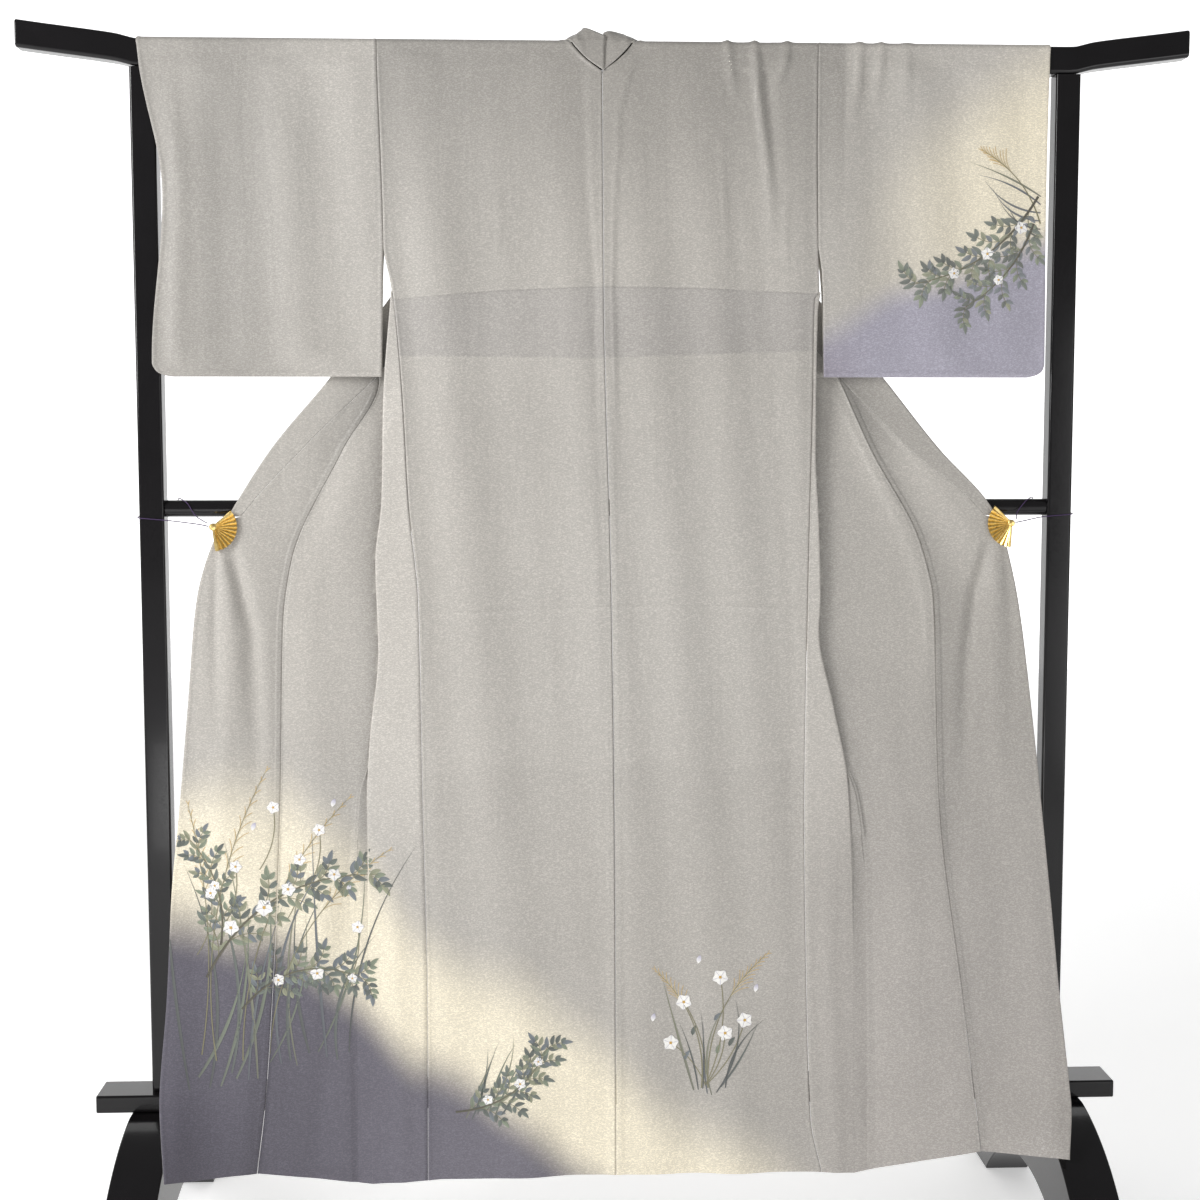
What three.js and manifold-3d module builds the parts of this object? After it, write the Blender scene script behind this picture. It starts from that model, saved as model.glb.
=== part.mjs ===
// Silk kimono hung by its shoulders on a lacquered kimono stand, back to the front (-Y).
// Millimetres, +Z up, origin on the floor under the middle of the stand.
import * as THREE from 'three';
import { mergeVertices } from 'three/addons/utils/BufferGeometryUtils.js';
import Module from 'manifold-3d';

const wasm = await Module();
wasm.setup();

// ---- driving sizes -------------------------------------------------------------------------
const T = 1.6;             // cloth wall, two layers of silk and its lining
const GAP = 0.32;          // between two pieces that meet
const SEAM = 0.5;          // between two cloth pieces along a seam
const RAIL_TOP = 1821;     // top of the top rail
const RAIL_H = 40;
const RAIL_D = 34;
const RAIL_R = 6;          // rounded edges of the top rail
const RAIL_X = 862;        // half length of the top rail
const POST_IN = 663, POST_OUT = 700, POST_D = 32;
const MID_Z = 1138.5, MID_R = 12.5;
const BOARD_X = 781, BOARD_D = 66, BOARD_Z0 = 223, BOARD_Z1 = 250;
const FOOT_IN = 655, FOOT_OUT = 728, FOOT_TOP = 226, FOOT_R = 335;
const ARCH_TOP = 105, ARCH_R = 304;
const FAN_R = 36, FAN_RIBS = 11, FAN_T = 1.3;
const CORD_R = 0.7;
const LOW = 300;           // below this level rows slope towards each line's own hem level

// ---- tables: [z, value] --------------------------------------------------------------------
const near = [[1781, -20], [1650, -22], [1459, -27], [1298, -31], [1050, -34], [750, -38], [450, -46], [250, -54], [121, -58]];
const layerA = [[1800, 18.8], [1700, 17.5], [1600, 12], [1524, 2], [1459, -9], [1390, -15], [1330, -19], [1225, -24], [1151, -26.5], [1057, -28], [927, -31], [791, -35], [700, -38.5], [555, -43.3], [121, -58]];
const layerB = [[1800, 23.2], [1700, 22], [1600, 17], [1524, 8], [1459, -3], [1390, -8.5], [1330, -12], [1225, -17.5], [1151, -20.3], [1057, -22.3], [927, -26], [791, -32], [700, -37], [555, -43.3], [121, -58]];
const frontEdgeY = [[1800, 18.8], [1650, 15], [1560, 8], [1524, 1], [1490, -13], [1459, -24]];
const bandWidth = [[1775, 34], [1740, 50], [1690, 62], [1645, 67], [1601, 68], [1335, 68], [1225, 46], [1160, 26], [1122, 17]];
// rows that every panel shares, so that neighbours keep one line between them
const LEVELS = [1775, 1740, 1690, 1645, 1601, 1560, 1524, 1490, 1459, 1425, 1380, 1337, 1298, 1225, 1151, 1080, 1030, 966, 890, 810, 740, 640, 520, 400, 300, 230, 160, 100];

// each line of the garment: [z, x, y]; hem is its level at the bottom edge
const LEFT = {
  centre: { hem: 125, at: [[1777, -12, -20.1], [1446, -10, -27.3], [1002, 1, -34.7], [547, 6, -43.5], [125, 7, -57.9]] },
  side: { hem: 121, at: [[1781, -341, -20], [1589, -335, -23.6], [1524, -334, -25.3], [1459, -322, -27], [1298, -308, -31], [1151, -301, -32.8], [1003, -287, -34.6], [702, -283, -39.4], [398, -278, -48.4], [121, -279, -58]] },
  fold: { hem: 117, at: [[1459, -323, -27], [1298, -336, -31], [1151, -340, -32.8], [1058, -350, -33.9], [928, -347, -35.6], [793, -361, -37.5], [703, -366, -39.3], [555, -366, -43.3], [117, -363, -58]] },
  inner: { hem: 120, at: [[1775, -72, 0], [1740, -80, 0], [1690, -94, 0], [1645, -105, 0], [1601, -117, 0], [1459, -193, 0], [1298, -233, 0], [1151, -280, 0], [1057, -312, 0], [927, -324, 0], [791, -352, 0], [700, -378, 0], [555, -384, 0], [120, -384, 0]] },
  okumi: { hem: 158, at: [[1335, -343, -8], [1329, -343, -8.4], [1225, -398, -15], [1057, -476, -21.5], [966, -489, -23.2], [704, -495, -38.1], [407, -508, -67.3], [261, -517, -88.6], [158, -528, -109.5]] },
  edge: { hem: 178, at: [[1775, -109, 24], [1740, -135, 24], [1690, -166, 23.5], [1645, -191, 22], [1601, -219, 19], [1524, -274, 10], [1459, -321, 3], [1331, -417, -8.4], [1225, -505, -17], [1114, -575, -25], [1084, -592, -26], [1000, -616, -28], [854, -630, -32], [705, -643, -42], [558, -656, -58], [413, -661, -82], [289, -667, -115], [178, -648, -190]] },
  ridge: -341, neck: -72,
};
const RIGHT = {
  centre: LEFT.centre,
  side: { hem: 123, at: [[1781, 306, -20], [1667, 306, -21.8], [1524, 308, -25.3], [1459, 310, -27], [1447, 303, -27.3], [1302, 301, -30.9], [1001, 296, -34.7], [697, 293, -39.5], [390, 298, -48.7], [204, 305, -55.6], [123, 322, -57.9]] },
  fold: { hem: 121, at: [[1459, 312, -27], [1430, 308, -28], [1298, 306, -31], [1225, 306, -31.9], [1108, 312, -33.3], [1001, 315, -34.7], [955, 313, -35.3], [840, 336, -36.8], [723, 359, -38.8], [555, 368, -43.3], [121, 372, -58]] },
  inner: { hem: 125, at: [[1775, 49, 0], [1740, 58, 0], [1690, 74, 0], [1645, 86, 0], [1601, 98, 0], [1459, 184, 0], [1298, 208, 0], [1151, 252, 0], [1057, 279, 0], [927, 296, 0], [791, 334, 0], [700, 372, 0], [555, 388, 0], [125, 392, 0]] },
  okumi: { hem: 172, at: [[1335, 341, -8], [1333, 342, -8.2], [1225, 392, -15], [1083, 468, -20.7], [999, 488, -22.6], [696, 498, -38.8], [393, 533, -69.1], [172, 555, -106.8]] },
  edge: { hem: 188, at: [[1775, 86, 24], [1740, 113, 24], [1690, 146, 23.5], [1645, 172, 22], [1601, 200, 19], [1524, 255, 10], [1459, 306, 3], [1333, 411, -8.2], [1225, 497, -17], [1150, 567, -23.1], [1117, 588, -24.8], [1090, 596, -25.8], [999, 617, -28], [847, 638, -32.5], [695, 654, -43.2], [456, 673, -74.8], [260, 682, -132.1], [188, 666, -182.5]] },
  ridge: 306, neck: 47,
};
// sleeve edges: [z, x] and far layer depth along the armhole and the outer edge
const SLEEVE_L = {
  inner: [[1822, -341], [1781, -341], [1589, -335], [1524, -334], [1490, -335.5], [1459, -336], [1333, -338]],
  nearOut: [[1822, -688], [1781, -684], [1601, -654], [1353, -674], [1341, -668], [1333, -650]],
  farOut: [[1822, -661], [1740, -659], [1680, -657], [1640, -655], [1601, -654], [1353, -674], [1341, -668], [1333, -650]],
  bottom: 1333,
};
const SLEEVE_R = {
  inner: [[1822, 306], [1667, 306], [1524, 308], [1490, 313.5], [1459, 315.5], [1333, 318]],
  nearOut: [[1822, 652], [1741, 650], [1601, 649], [1353, 651], [1343, 648], [1336, 636], [1333, 630]],
  farOut: [[1822, 652], [1741, 650], [1601, 649], [1353, 651], [1343, 648], [1336, 636], [1333, 630]],
  bottom: 1333,
};
const sleeveNearIn = [[1781, -20], [1650, -22], [1524, -25.2], [1459, -25], [1333, -24.4]];
const sleeveNearOut = [[1781, -20], [1601, -21.5], [1333, -23.2]];
const sleeveFarIn = [[1800, 18.8], [1650, 15], [1560, 8], [1524, 1], [1490, -5], [1450, -10.5], [1400, -16], [1333, -20.5]];
const sleeveFarOut = [[1790, 19.5], [1740, 15], [1680, 5], [1640, -6], [1601, -17.6], [1333, -19.6]];

// collar about the neck, from the middle of the back: [seam], [band 1/3], [band 2/3], [outer]
const NECK_L = [
  [[-12, -22.9, 1777], [-12, -22, 1796], [-11.8, -20.6, 1814], [-11.5, -17, 1831]],
  [[-34, -22.9, 1794], [-34, -21.4, 1812], [-34.4, -18.2, 1827], [-35, -12, 1841]],
  [[-51.5, -21.4, 1812], [-49.5, -19.6, 1824], [-46.5, -11, 1834], [-42, -2, 1840]],
  [[-57.5, -18.9, 1821], [-53, -12, 1829], [-48, -4, 1835], [-40, 4, 1839]],
  [[-65.8, -8, 1825], [-57, 0, 1832], [-47, 6, 1836], [-36, 12, 1836]],
  [[-66, 9, 1825], [-56, 15, 1831], [-46, 21, 1832], [-34, 27, 1829]],
];
const NECK_R = [
  [[-12, -22.9, 1777], [-12, -22, 1796], [-11.8, -20.6, 1814], [-11.5, -17, 1831]],
  [[9, -22.9, 1794], [8, -21.4, 1811], [4, -18.2, 1825], [-2, -12, 1837]],
  [[26.5, -21.4, 1812], [24, -19.6, 1823], [19.5, -11, 1832], [11, -2, 1837]],
  [[32, -18.9, 1821], [27, -12, 1828], [21, -4, 1833], [10, 4, 1836]],
  [[40, -8, 1825], [31, 0, 1831], [21, 6, 1834], [10, 12, 1834]],
  [[41, 9, 1825], [31, 15, 1830], [21, 21, 1831], [9, 27, 1828]],
];
// below the shoulder the collar turns from inward to outward about its seam:
// [z, y of the front panel, turn of its edge in degrees, collar width, inset of the edge]
const TURN = [[1822.6, 0.2, 4, 46, 0], [1822.6, 11, 12, 45, 0], [1821.6, 14.9, 22, 43, 0], [1818.7, 17.4, 36, 41, 0], [1812, 18.8, 66, 38, 0], [1803, 18.9, 104, 35, 0], [1794, 18.9, 140, 33, 0.5], [1785, 18.9, 170, 32, 1]];

// ---- small helpers -------------------------------------------------------------------------
const look = (table, z, k = 1) => {
  const t = table;
  if (z >= t[0][0]) return t[0][k];
  for (let i = 1; i < t.length; i++) {
    if (z >= t[i][0]) {
      const f = (t[i - 1][0] - z) / (t[i - 1][0] - t[i][0]);
      return t[i - 1][k] + f * (t[i][k] - t[i - 1][k]);
    }
  }
  return t[t.length - 1][k];
};
const mix = (a, b, f) => a + (b - a) * f;
const mix3 = (a, b, f) => a.map((v, k) => mix(v, b[k], f));
const dist = (a, b) => Math.hypot(a[0] - b[0], a[1] - b[1], a[2] - b[2]);

// A point of a line on the row of nominal level q; near the hem each line runs to its own level.
const point = (line, q, y = null) => {
  const z = q >= LOW ? q : LOW - (LOW - q) * (LOW - line.hem) / (LOW - 100);
  return [look(line.at, z, 1), y === null ? look(line.at, z, 2) : y, z];
};

// A polyline walked by arc length.
const walk = (pts) => {
  const s = [0];
  for (let i = 1; i < pts.length; i++) s.push(s[i - 1] + dist(pts[i - 1], pts[i]));
  const total = s[s.length - 1];
  const at = (d) => {
    let i = 1;
    while (i < pts.length - 1 && s[i] < d) i++;
    const f = (d - s[i - 1]) / Math.max(1e-6, s[i] - s[i - 1]);
    return mix3(pts[i - 1], pts[i], Math.max(-1, Math.min(2, f)));
  };
  return { s, total, at };
};

// Moves the first and last points of a row in along it, to leave the gap at both seams.
const trim = (row, a = SEAM / 2, b = SEAM / 2) => {
  const w = walk(row), r = row.map((p) => p.slice()), n = r.length - 1;
  const f0 = a / dist(r[0], r[1]), f1 = b / dist(r[n], r[n - 1]);
  r[0] = mix3(r[0], r[1], f0);
  r[n] = mix3(r[n], r[n - 1], f1);
  return r;
};

// A cloth wall: a grid of mid-surface points given half the thickness on both sides.
const wall = (name, rows, color, t = T) => {
  const m = rows.length, n = rows[0].length;
  const P = rows.map((r) => r.map((p) => new THREE.Vector3(...p)));
  const N = [];
  for (let i = 0; i < m; i++) {
    N.push([]);
    for (let j = 0; j < n; j++) {
      const sum = new THREE.Vector3();
      for (const [a, b] of [[0, 0], [-1, 0], [0, -1], [-1, -1]]) {
        const i0 = i + a, j0 = j + b;
        if (i0 < 0 || j0 < 0 || i0 >= m - 1 || j0 >= n - 1) continue;
        const d1 = P[i0 + 1][j0 + 1].clone().sub(P[i0][j0]);
        const d2 = P[i0][j0 + 1].clone().sub(P[i0 + 1][j0]);
        const c = d1.cross(d2);
        if (c.length() > 1e-9) sum.add(c.normalize());
      }
      N[i].push(sum.normalize());
    }
  }
  const pos = [], idx = [];
  for (const side of [1, -1]) {
    for (let i = 0; i < m; i++) {
      for (let j = 0; j < n; j++) {
        const p = P[i][j].clone().addScaledVector(N[i][j], side * t / 2);
        pos.push(p.x, p.y, p.z);
      }
    }
  }
  const q = (i, j) => i * n + j, o = m * n;
  for (let i = 0; i < m - 1; i++) {
    for (let j = 0; j < n - 1; j++) {
      const a = q(i, j), b = q(i, j + 1), c = q(i + 1, j + 1), d = q(i + 1, j);
      idx.push(a, b, c, a, c, d, o + a, o + c, o + b, o + a, o + d, o + c);
    }
  }
  const rim = [];
  for (let j = 0; j < n; j++) rim.push(q(0, j));
  for (let i = 1; i < m; i++) rim.push(q(i, n - 1));
  for (let j = n - 2; j >= 0; j--) rim.push(q(m - 1, j));
  for (let i = m - 2; i > 0; i--) rim.push(q(i, 0));
  for (let k = 0; k < rim.length; k++) {
    const a = rim[k], b = rim[(k + 1) % rim.length];
    idx.push(b, a, o + a, b, o + a, o + b);
  }
  return finish(name, pos, idx, color, 0.75, 0);
};

const finish = (name, pos, idx, color, roughness, metalness) => {
  let v = 0;
  for (let i = 0; i < idx.length; i += 3) {
    const [a, b, c] = [idx[i] * 3, idx[i + 1] * 3, idx[i + 2] * 3];
    v += pos[a] * (pos[b + 1] * pos[c + 2] - pos[b + 2] * pos[c + 1])
      - pos[a + 1] * (pos[b] * pos[c + 2] - pos[b + 2] * pos[c])
      + pos[a + 2] * (pos[b] * pos[c + 1] - pos[b + 1] * pos[c]);
  }
  if (v < 0) for (let i = 0; i < idx.length; i += 3) [idx[i + 1], idx[i + 2]] = [idx[i + 2], idx[i + 1]];
  const g = new THREE.BufferGeometry();
  g.setAttribute('position', new THREE.Float32BufferAttribute(pos, 3));
  g.setIndex(idx);
  g.computeVertexNormals();
  const mesh = new THREE.Mesh(g, new THREE.MeshStandardMaterial({ color, roughness, metalness }));
  mesh.name = name;
  return mesh;
};

// A solid through equal closed sections with flat ends.
const loft = (sections) => {
  const n = sections[0].length, pos = [], idx = [];
  for (const s of sections) for (const p of s) pos.push(...p);
  for (let i = 0; i < sections.length - 1; i++) {
    for (let j = 0; j < n; j++) {
      const a = i * n + j, b = i * n + (j + 1) % n;
      idx.push(a, b, b + n, a, b + n, a + n);
    }
  }
  for (const [i, flip] of [[0, true], [sections.length - 1, false]]) {
    const c = pos.length / 3, m = [0, 0, 0];
    for (const p of sections[i]) for (let k = 0; k < 3; k++) m[k] += p[k] / n;
    pos.push(...m);
    for (let j = 0; j < n; j++) {
      const a = i * n + j, b = i * n + (j + 1) % n;
      if (flip) idx.push(c, b, a); else idx.push(c, a, b);
    }
  }
  return { pos, idx };
};

const group = new THREE.Group();
group.name = 'kimono_on_stand';
const CLOTH = 0xb2aea7, LACQUER = 0x17161a, GOLD = 0xc79a3c, CORD = 0x3c2546;
const add = (mesh) => { group.add(mesh); return mesh; };

// ---- the back panels -----------------------------------------------------------------------
// over the rail: [y, z] from the near face up to the shoulder ridge
const over = (sign) => [[-18.6, 1814], [-17.4, 1818.7], [-14.9, 1821.6], [-11, 1822.6], [-0.2, 1822.6]]
  .map(([y, z]) => [y * sign, z]);
const BACK_COLS = [0, 0.09, 0.26, 0.5, 0.74, 0.91, 1];
const back = (name, L) => {
  const neckX = (k) => mix(L.centre.at[0][1], L.neck, k);
  const sgn = Math.sign(L.neck - L.centre.at[0][1]);
  const rows = [];
  const row = (a, b) => trim(BACK_COLS.map((u) => mix3(a, b, u)));
  const starts = [0.98, 0.93, 0.85, 0.78, 0.7];
  over(1).reverse().forEach(([y, z], k) => rows.push(row([neckX(starts[k]), y, z], [L.ridge, y, z])));
  rows.push(row([neckX(0.37), -19.6, 1794], [L.ridge, -19.4, 1794]));
  for (const q of LEVELS) rows.push(row(point(L.centre, q), point(L.side, q)));
  add(wall(name, rows, CLOTH));
};
back('back_left', LEFT);
back('back_right', RIGHT);

// ---- the front panels, bands and collars ---------------------------------------------------
// A rounded corner at b: the point before it, the point on it and the point after it.
const corner = (a, b, c, r) => {
  const ra = Math.min(r, dist(a, b) * 0.45), rc = Math.min(r, dist(b, c) * 0.45);
  const p = mix3(b, a, ra / Math.max(1e-6, dist(a, b))), q = mix3(b, c, rc / Math.max(1e-6, dist(b, c)));
  return [p, mix3(mix3(p, b, 0.6), mix3(q, b, 0.6), 0.5), q];
};
// One row of a front, from the side seam round the pleat and the turned-back fold to the free edge.
const frontRow = (L, q) => {
  const z = q, s = Math.sign(L.ridge);
  const yA = look(layerA, z), yB = look(layerB, z);
  const S = point(L.side, q), I = point(L.inner, q), O = point(L.edge, q), K = point(L.okumi, q);
  const I1 = [I[0], yA, I[2]], I2 = [I[0], Math.max(yB, yA + (z > 760 ? 3.4 : 0)), I[2]];
  const open = z > 1458;
  let head;
  if (open) {
    S[1] = look(frontEdgeY, z);
    if (z < 1480) S[0] += s * 0.8;
    const w = walk([S, I1]);
    head = [0, 1.2, 2.4, 3.6, 4.8, 6, 7.2].map((d) => w.at(d));
  } else {
    const F = point(L.fold, q);
    const drop = 5.8 * Math.max(0, Math.min(1, (z - 480) / 300));
    const F2 = [F[0], F[1] + drop + 0.02, F[2]];
    if (z < 640) I1[1] = F2[1];
    if (z < 640) I2[1] = F2[1] + 0.02;
    const c1 = corner(S, F, F2, 2.4), c2 = corner(F, F2, I1, 2.4);
    head = [S, mix3(S, c1[0], 0.5), c1[0], c1[1], c2[0], c2[1], c2[2]];
  }
  const next = z > 1340 ? O : K;
  const c3 = corner(head[6], I1, I2, 2.2), c4 = corner(I1, I2, next, 2.2);
  const path = head.concat([mix3(head[6], c3[0], 0.5), c3[0], c3[1], c4[0], c4[1], c4[2]]);
  const whole = path.concat(z > 1340 ? [O] : [K, O]);
  const w = walk(whole);
  const band = z > 1122.5 ? look(bandWidth, z) : 0;
  const end = z > 1340 ? w.total - band : w.s[path.length];
  return { z: q, path, w, end, band };
};
const EXTRA = [1124.5, 1123.4, 1122];
const FRONT_LEVELS = LEVELS.concat(EXTRA).sort((a, b) => b - a);
const front = (side, L) => {
  const rows = [], turns = [], s = Math.sign(L.ridge);
  for (const [z, y, turn, width] of TURN) {
    // the last six steps of the row bend round with the collar
    const a = [L.ridge, z > 1790 && y < 18.7 ? y : look(frontEdgeY, z), z], n = 6, step = 0.8;
    const e = [L.neck + s * 1.2, y, z], w = walk([a, e]);
    const row = [0, 1.2, 2.4, 3.6, 4.8, 6, 7.2].map((d) => w.at(d));
    row.push(w.at((7.2 + w.total) / 2), e);
    let p = e;
    for (let i = 0; i < n; i++) {
      const g = turn * (i + 0.5) / n * Math.PI / 180;
      p = [p[0] - s * step * Math.cos(g), p[1] + step * Math.sin(g), p[2]];
      row.push(p);
    }
    const g = turn * Math.PI / 180;
    turns.push({ start: p, dir: [-s * Math.cos(g), Math.sin(g), 0], width });
    rows.push(trim(row));
  }
  const bands = [];
  for (const q of FRONT_LEVELS) {
    const r = frontRow(L, q), b0 = r.w.s[12];
    rows.push(trim(r.path.concat([0.5, 1].map((f) => r.w.at(mix(b0, r.end, f))))));
    bands.push(r);
  }
  add(wall('front_' + side, rows, CLOTH));
  return { bands, turns };
};

// the overlap bands (okumi), from the collar's point to the hem
const okumi = (side, L, bands) => {
  const rows = [];
  for (const b of bands) {
    if (b.z > 1340) continue;
    b.split = Math.max(b.end + 1.2, b.w.total - b.band);
    const cols = [0, 0.33, 0.67, 1].map((f) => b.w.at(mix(b.end, b.split, f)));
    rows.push(trim(cols, SEAM / 2, b.band > 0 ? SEAM / 2 : 0));
  }
  add(wall('okumi_' + side, rows, CLOTH));
};

// the collar: standing about the neck, turned back at the shoulder, then flat to the clip
const collar = (side, L, neck, bands, turns) => {
  const s = Math.sign(L.ridge);
  const rows = neck.map((n) => trim([n[0], mix3(n[0], n[1], 0.5), n[1], mix3(n[1], n[2], 0.5), n[2], n[3]], 1, 0));
  turns.slice(3).forEach(({ start, dir, width }, k) => {
    const lift = [14, 8, 3, 1, 0][k], cols = [0, 0.17, 0.33, 0.5, 0.67, 1].map((f) => {
      const p = start.map((v, i) => v + dir[i] * width * f);
      return [p[0], p[1] + 1.2 * Math.sin(f * Math.PI), p[2] + lift * Math.sin(f * 1.7)];
    });
    rows.push(trim(cols, 0.5, 0));
  });
  for (const b of bands) {
    if (b.z < 1124) break;
    const from = b.z > 1340 ? b.end : b.split;
    rows.push(trim([0, 0.17, 0.33, 0.5, 0.67, 1].map((f) => b.w.at(mix(from, b.w.total, f))), SEAM / 2, 0));
  }
  // the two halves meet at the middle of the back of the neck
  rows[0] = rows[0].map((p) => [p[0] + s * SEAM / 2, p[1], p[2]]);
  add(wall('collar_' + side, rows, CLOTH));
};
for (const [side, L, neck] of [['left', LEFT, NECK_L], ['right', RIGHT, NECK_R]]) {
  const { bands, turns } = front(side, L);
  okumi(side, L, bands);
  collar(side, L, neck, bands, turns);
}

// ---- the sleeves ---------------------------------------------------------------------------
const SLEEVE_LEVELS = [1775, 1740, 1690, 1645, 1601, 1560, 1524, 1490, 1450, 1400, 1353, 1341, 1333];
const SLEEVE_COLS = [0, 0.15, 0.38, 0.62, 0.85, 1];
const sleeve = (name, S, far) => {
  const rows = [];
  const out = far ? S.farOut : S.nearOut;
  const yIn = far ? sleeveFarIn : sleeveNearIn, yOut = far ? sleeveFarOut : sleeveNearOut;
  over(far ? -1 : 1).reverse().forEach(([y, z]) => {
    rows.push(SLEEVE_COLS.map((u) => [mix(look(S.inner, 1822), look(out, 1822), u), y, z]));
  });
  for (const z of SLEEVE_LEVELS) {
    rows.push(SLEEVE_COLS.map((u) => [mix(look(S.inner, z), look(out, z), u), mix(look(yIn, z), look(yOut, z), u), z]));
  }
  add(wall(name, rows.map((r) => trim(r, SEAM / 2, 0)), CLOTH));
};
sleeve('sleeve_left_back', SLEEVE_L, false);
sleeve('sleeve_left_front', SLEEVE_L, true);
sleeve('sleeve_right_back', SLEEVE_R, false);
sleeve('sleeve_right_front', SLEEVE_R, true);

// ---- the stand -----------------------------------------------------------------------------
// rounded rectangle about (0, 0), two sizes
const rounded = (w, h, r, steps = 4) => {
  const out = [];
  for (const [cx, cy, a0] of [[w / 2 - r, h / 2 - r, 0], [-w / 2 + r, h / 2 - r, 90], [-w / 2 + r, -h / 2 + r, 180], [w / 2 - r, -h / 2 + r, 270]]) {
    for (let i = 0; i <= steps; i++) {
      const a = (a0 + 90 * i / steps) * Math.PI / 180;
      out.push([cx + r * Math.cos(a), cy + r * Math.sin(a)]);
    }
  }
  return out;
};
const rise = [[0, 0], [690, 0], [703, 3.2], [716, 6.5], [750, 11.5], [790, 16.5], [830, 21.5], [858, 25.2], [862, 25.8]];
{
  const xs = rise.map((r) => r[0]).slice(1);
  const stations = xs.slice().reverse().map((x) => -x).concat(xs);
  const sections = stations.map((x) => {
    const up = rise.find((r) => r[0] === Math.abs(x))[1];
    const end = Math.abs(x) > 861 ? 3 : 0;
    return rounded(RAIL_D - end, RAIL_H - end, RAIL_R - end / 2).map(([y, z]) => [x, y, z + RAIL_TOP - RAIL_H / 2 + up]);
  });
  const { pos, idx } = loft(sections);
  add(finish('top_rail', pos, idx, LACQUER, 0.12, 0));
}
for (const s of [-1, 1]) {
  const cx = s * (POST_IN + POST_OUT) / 2, w = POST_OUT - POST_IN;
  const zs = [[BOARD_Z1 + GAP, 1], [BOARD_Z1 + GAP + 1, 0], [RAIL_TOP - RAIL_H - GAP - 1, 0], [RAIL_TOP - RAIL_H - GAP, 1]];
  const { pos, idx } = loft(zs.map(([z, e]) => rounded(w - e, POST_D - e, 4 - e / 2).map(([x, y]) => [cx + x, y, z])));
  add(finish(s < 0 ? 'post_left' : 'post_right', pos, idx, LACQUER, 0.12, 0));
}
{
  const circle = (x) => Array.from({ length: 24 }, (_, i) => {
    const a = i * Math.PI / 12;
    return [x, MID_R * Math.cos(a), MID_Z + MID_R * Math.sin(a)];
  });
  const { pos, idx } = loft([circle(-POST_IN + GAP), circle(POST_IN - GAP)]);
  add(finish('mid_rail', pos, idx, LACQUER, 0.12, 0));
}
{
  const section = (x, e) => rounded(BOARD_D - e, BOARD_Z1 - BOARD_Z0 - e, 3 - e / 2).map(([y, z]) => [x, y, z + (BOARD_Z0 + BOARD_Z1) / 2]);
  const { pos, idx } = loft([section(-BOARD_X, 2), section(-BOARD_X + 1, 0), section(BOARD_X - 1, 0), section(BOARD_X, 2)]);
  add(finish('cross_board', pos, idx, LACQUER, 0.12, 0));
}
for (const s of [-1, 1]) {
  const outline = new THREE.Shape();
  const top = BOARD_Z0 - GAP, c = FOOT_TOP - FOOT_R;
  const flat = Math.sqrt(FOOT_R ** 2 - (top - c) ** 2), toe = Math.sqrt(FOOT_R ** 2 - (8 - c) ** 2);
  outline.moveTo(-toe - 1, 0.0);
  outline.lineTo(-toe - 1, 8);
  for (let i = 0; i <= 14; i++) {
    const y = mix(-toe, -flat, i / 14);
    outline.lineTo(y, c + Math.sqrt(FOOT_R ** 2 - y * y));
  }
  for (let i = 0; i <= 14; i++) {
    const y = mix(flat, toe, i / 14);
    outline.lineTo(y, c + Math.sqrt(FOOT_R ** 2 - y * y));
  }
  outline.lineTo(toe + 1, 8);
  outline.lineTo(toe + 1, 0);
  const ac = ARCH_TOP - ARCH_R, ay = Math.sqrt(ARCH_R ** 2 - ac ** 2);
  outline.lineTo(ay, 0);
  for (let i = 1; i < 16; i++) {
    const y = mix(ay, -ay, i / 16);
    outline.lineTo(y, ac + Math.sqrt(ARCH_R ** 2 - y * y));
  }
  outline.lineTo(-ay, 0);
  outline.closePath();
  const g = new THREE.ExtrudeGeometry(outline, { depth: FOOT_OUT - FOOT_IN, bevelEnabled: false, steps: 1 });
  g.rotateY(Math.PI / 2);
  g.rotateX(Math.PI / 2);
  // the extrusion now runs along +X with the outline's first axis along Y
  const pos = [], p = g.attributes.position;
  g.deleteAttribute('normal'); g.deleteAttribute('uv');
  const m = mergeVertices(g, 1e-4);
  m.computeBoundingBox();
  const b = m.boundingBox;
  m.translate((s < 0 ? -FOOT_OUT : FOOT_IN) - b.min.x, -(b.min.y + b.max.y) / 2, -b.min.z);
  const q = Array.from(m.attributes.position.array);
  add(finish(s < 0 ? 'foot_left' : 'foot_right', q, Array.from(m.index.array), LACQUER, 0.12, 0));
}

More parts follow.
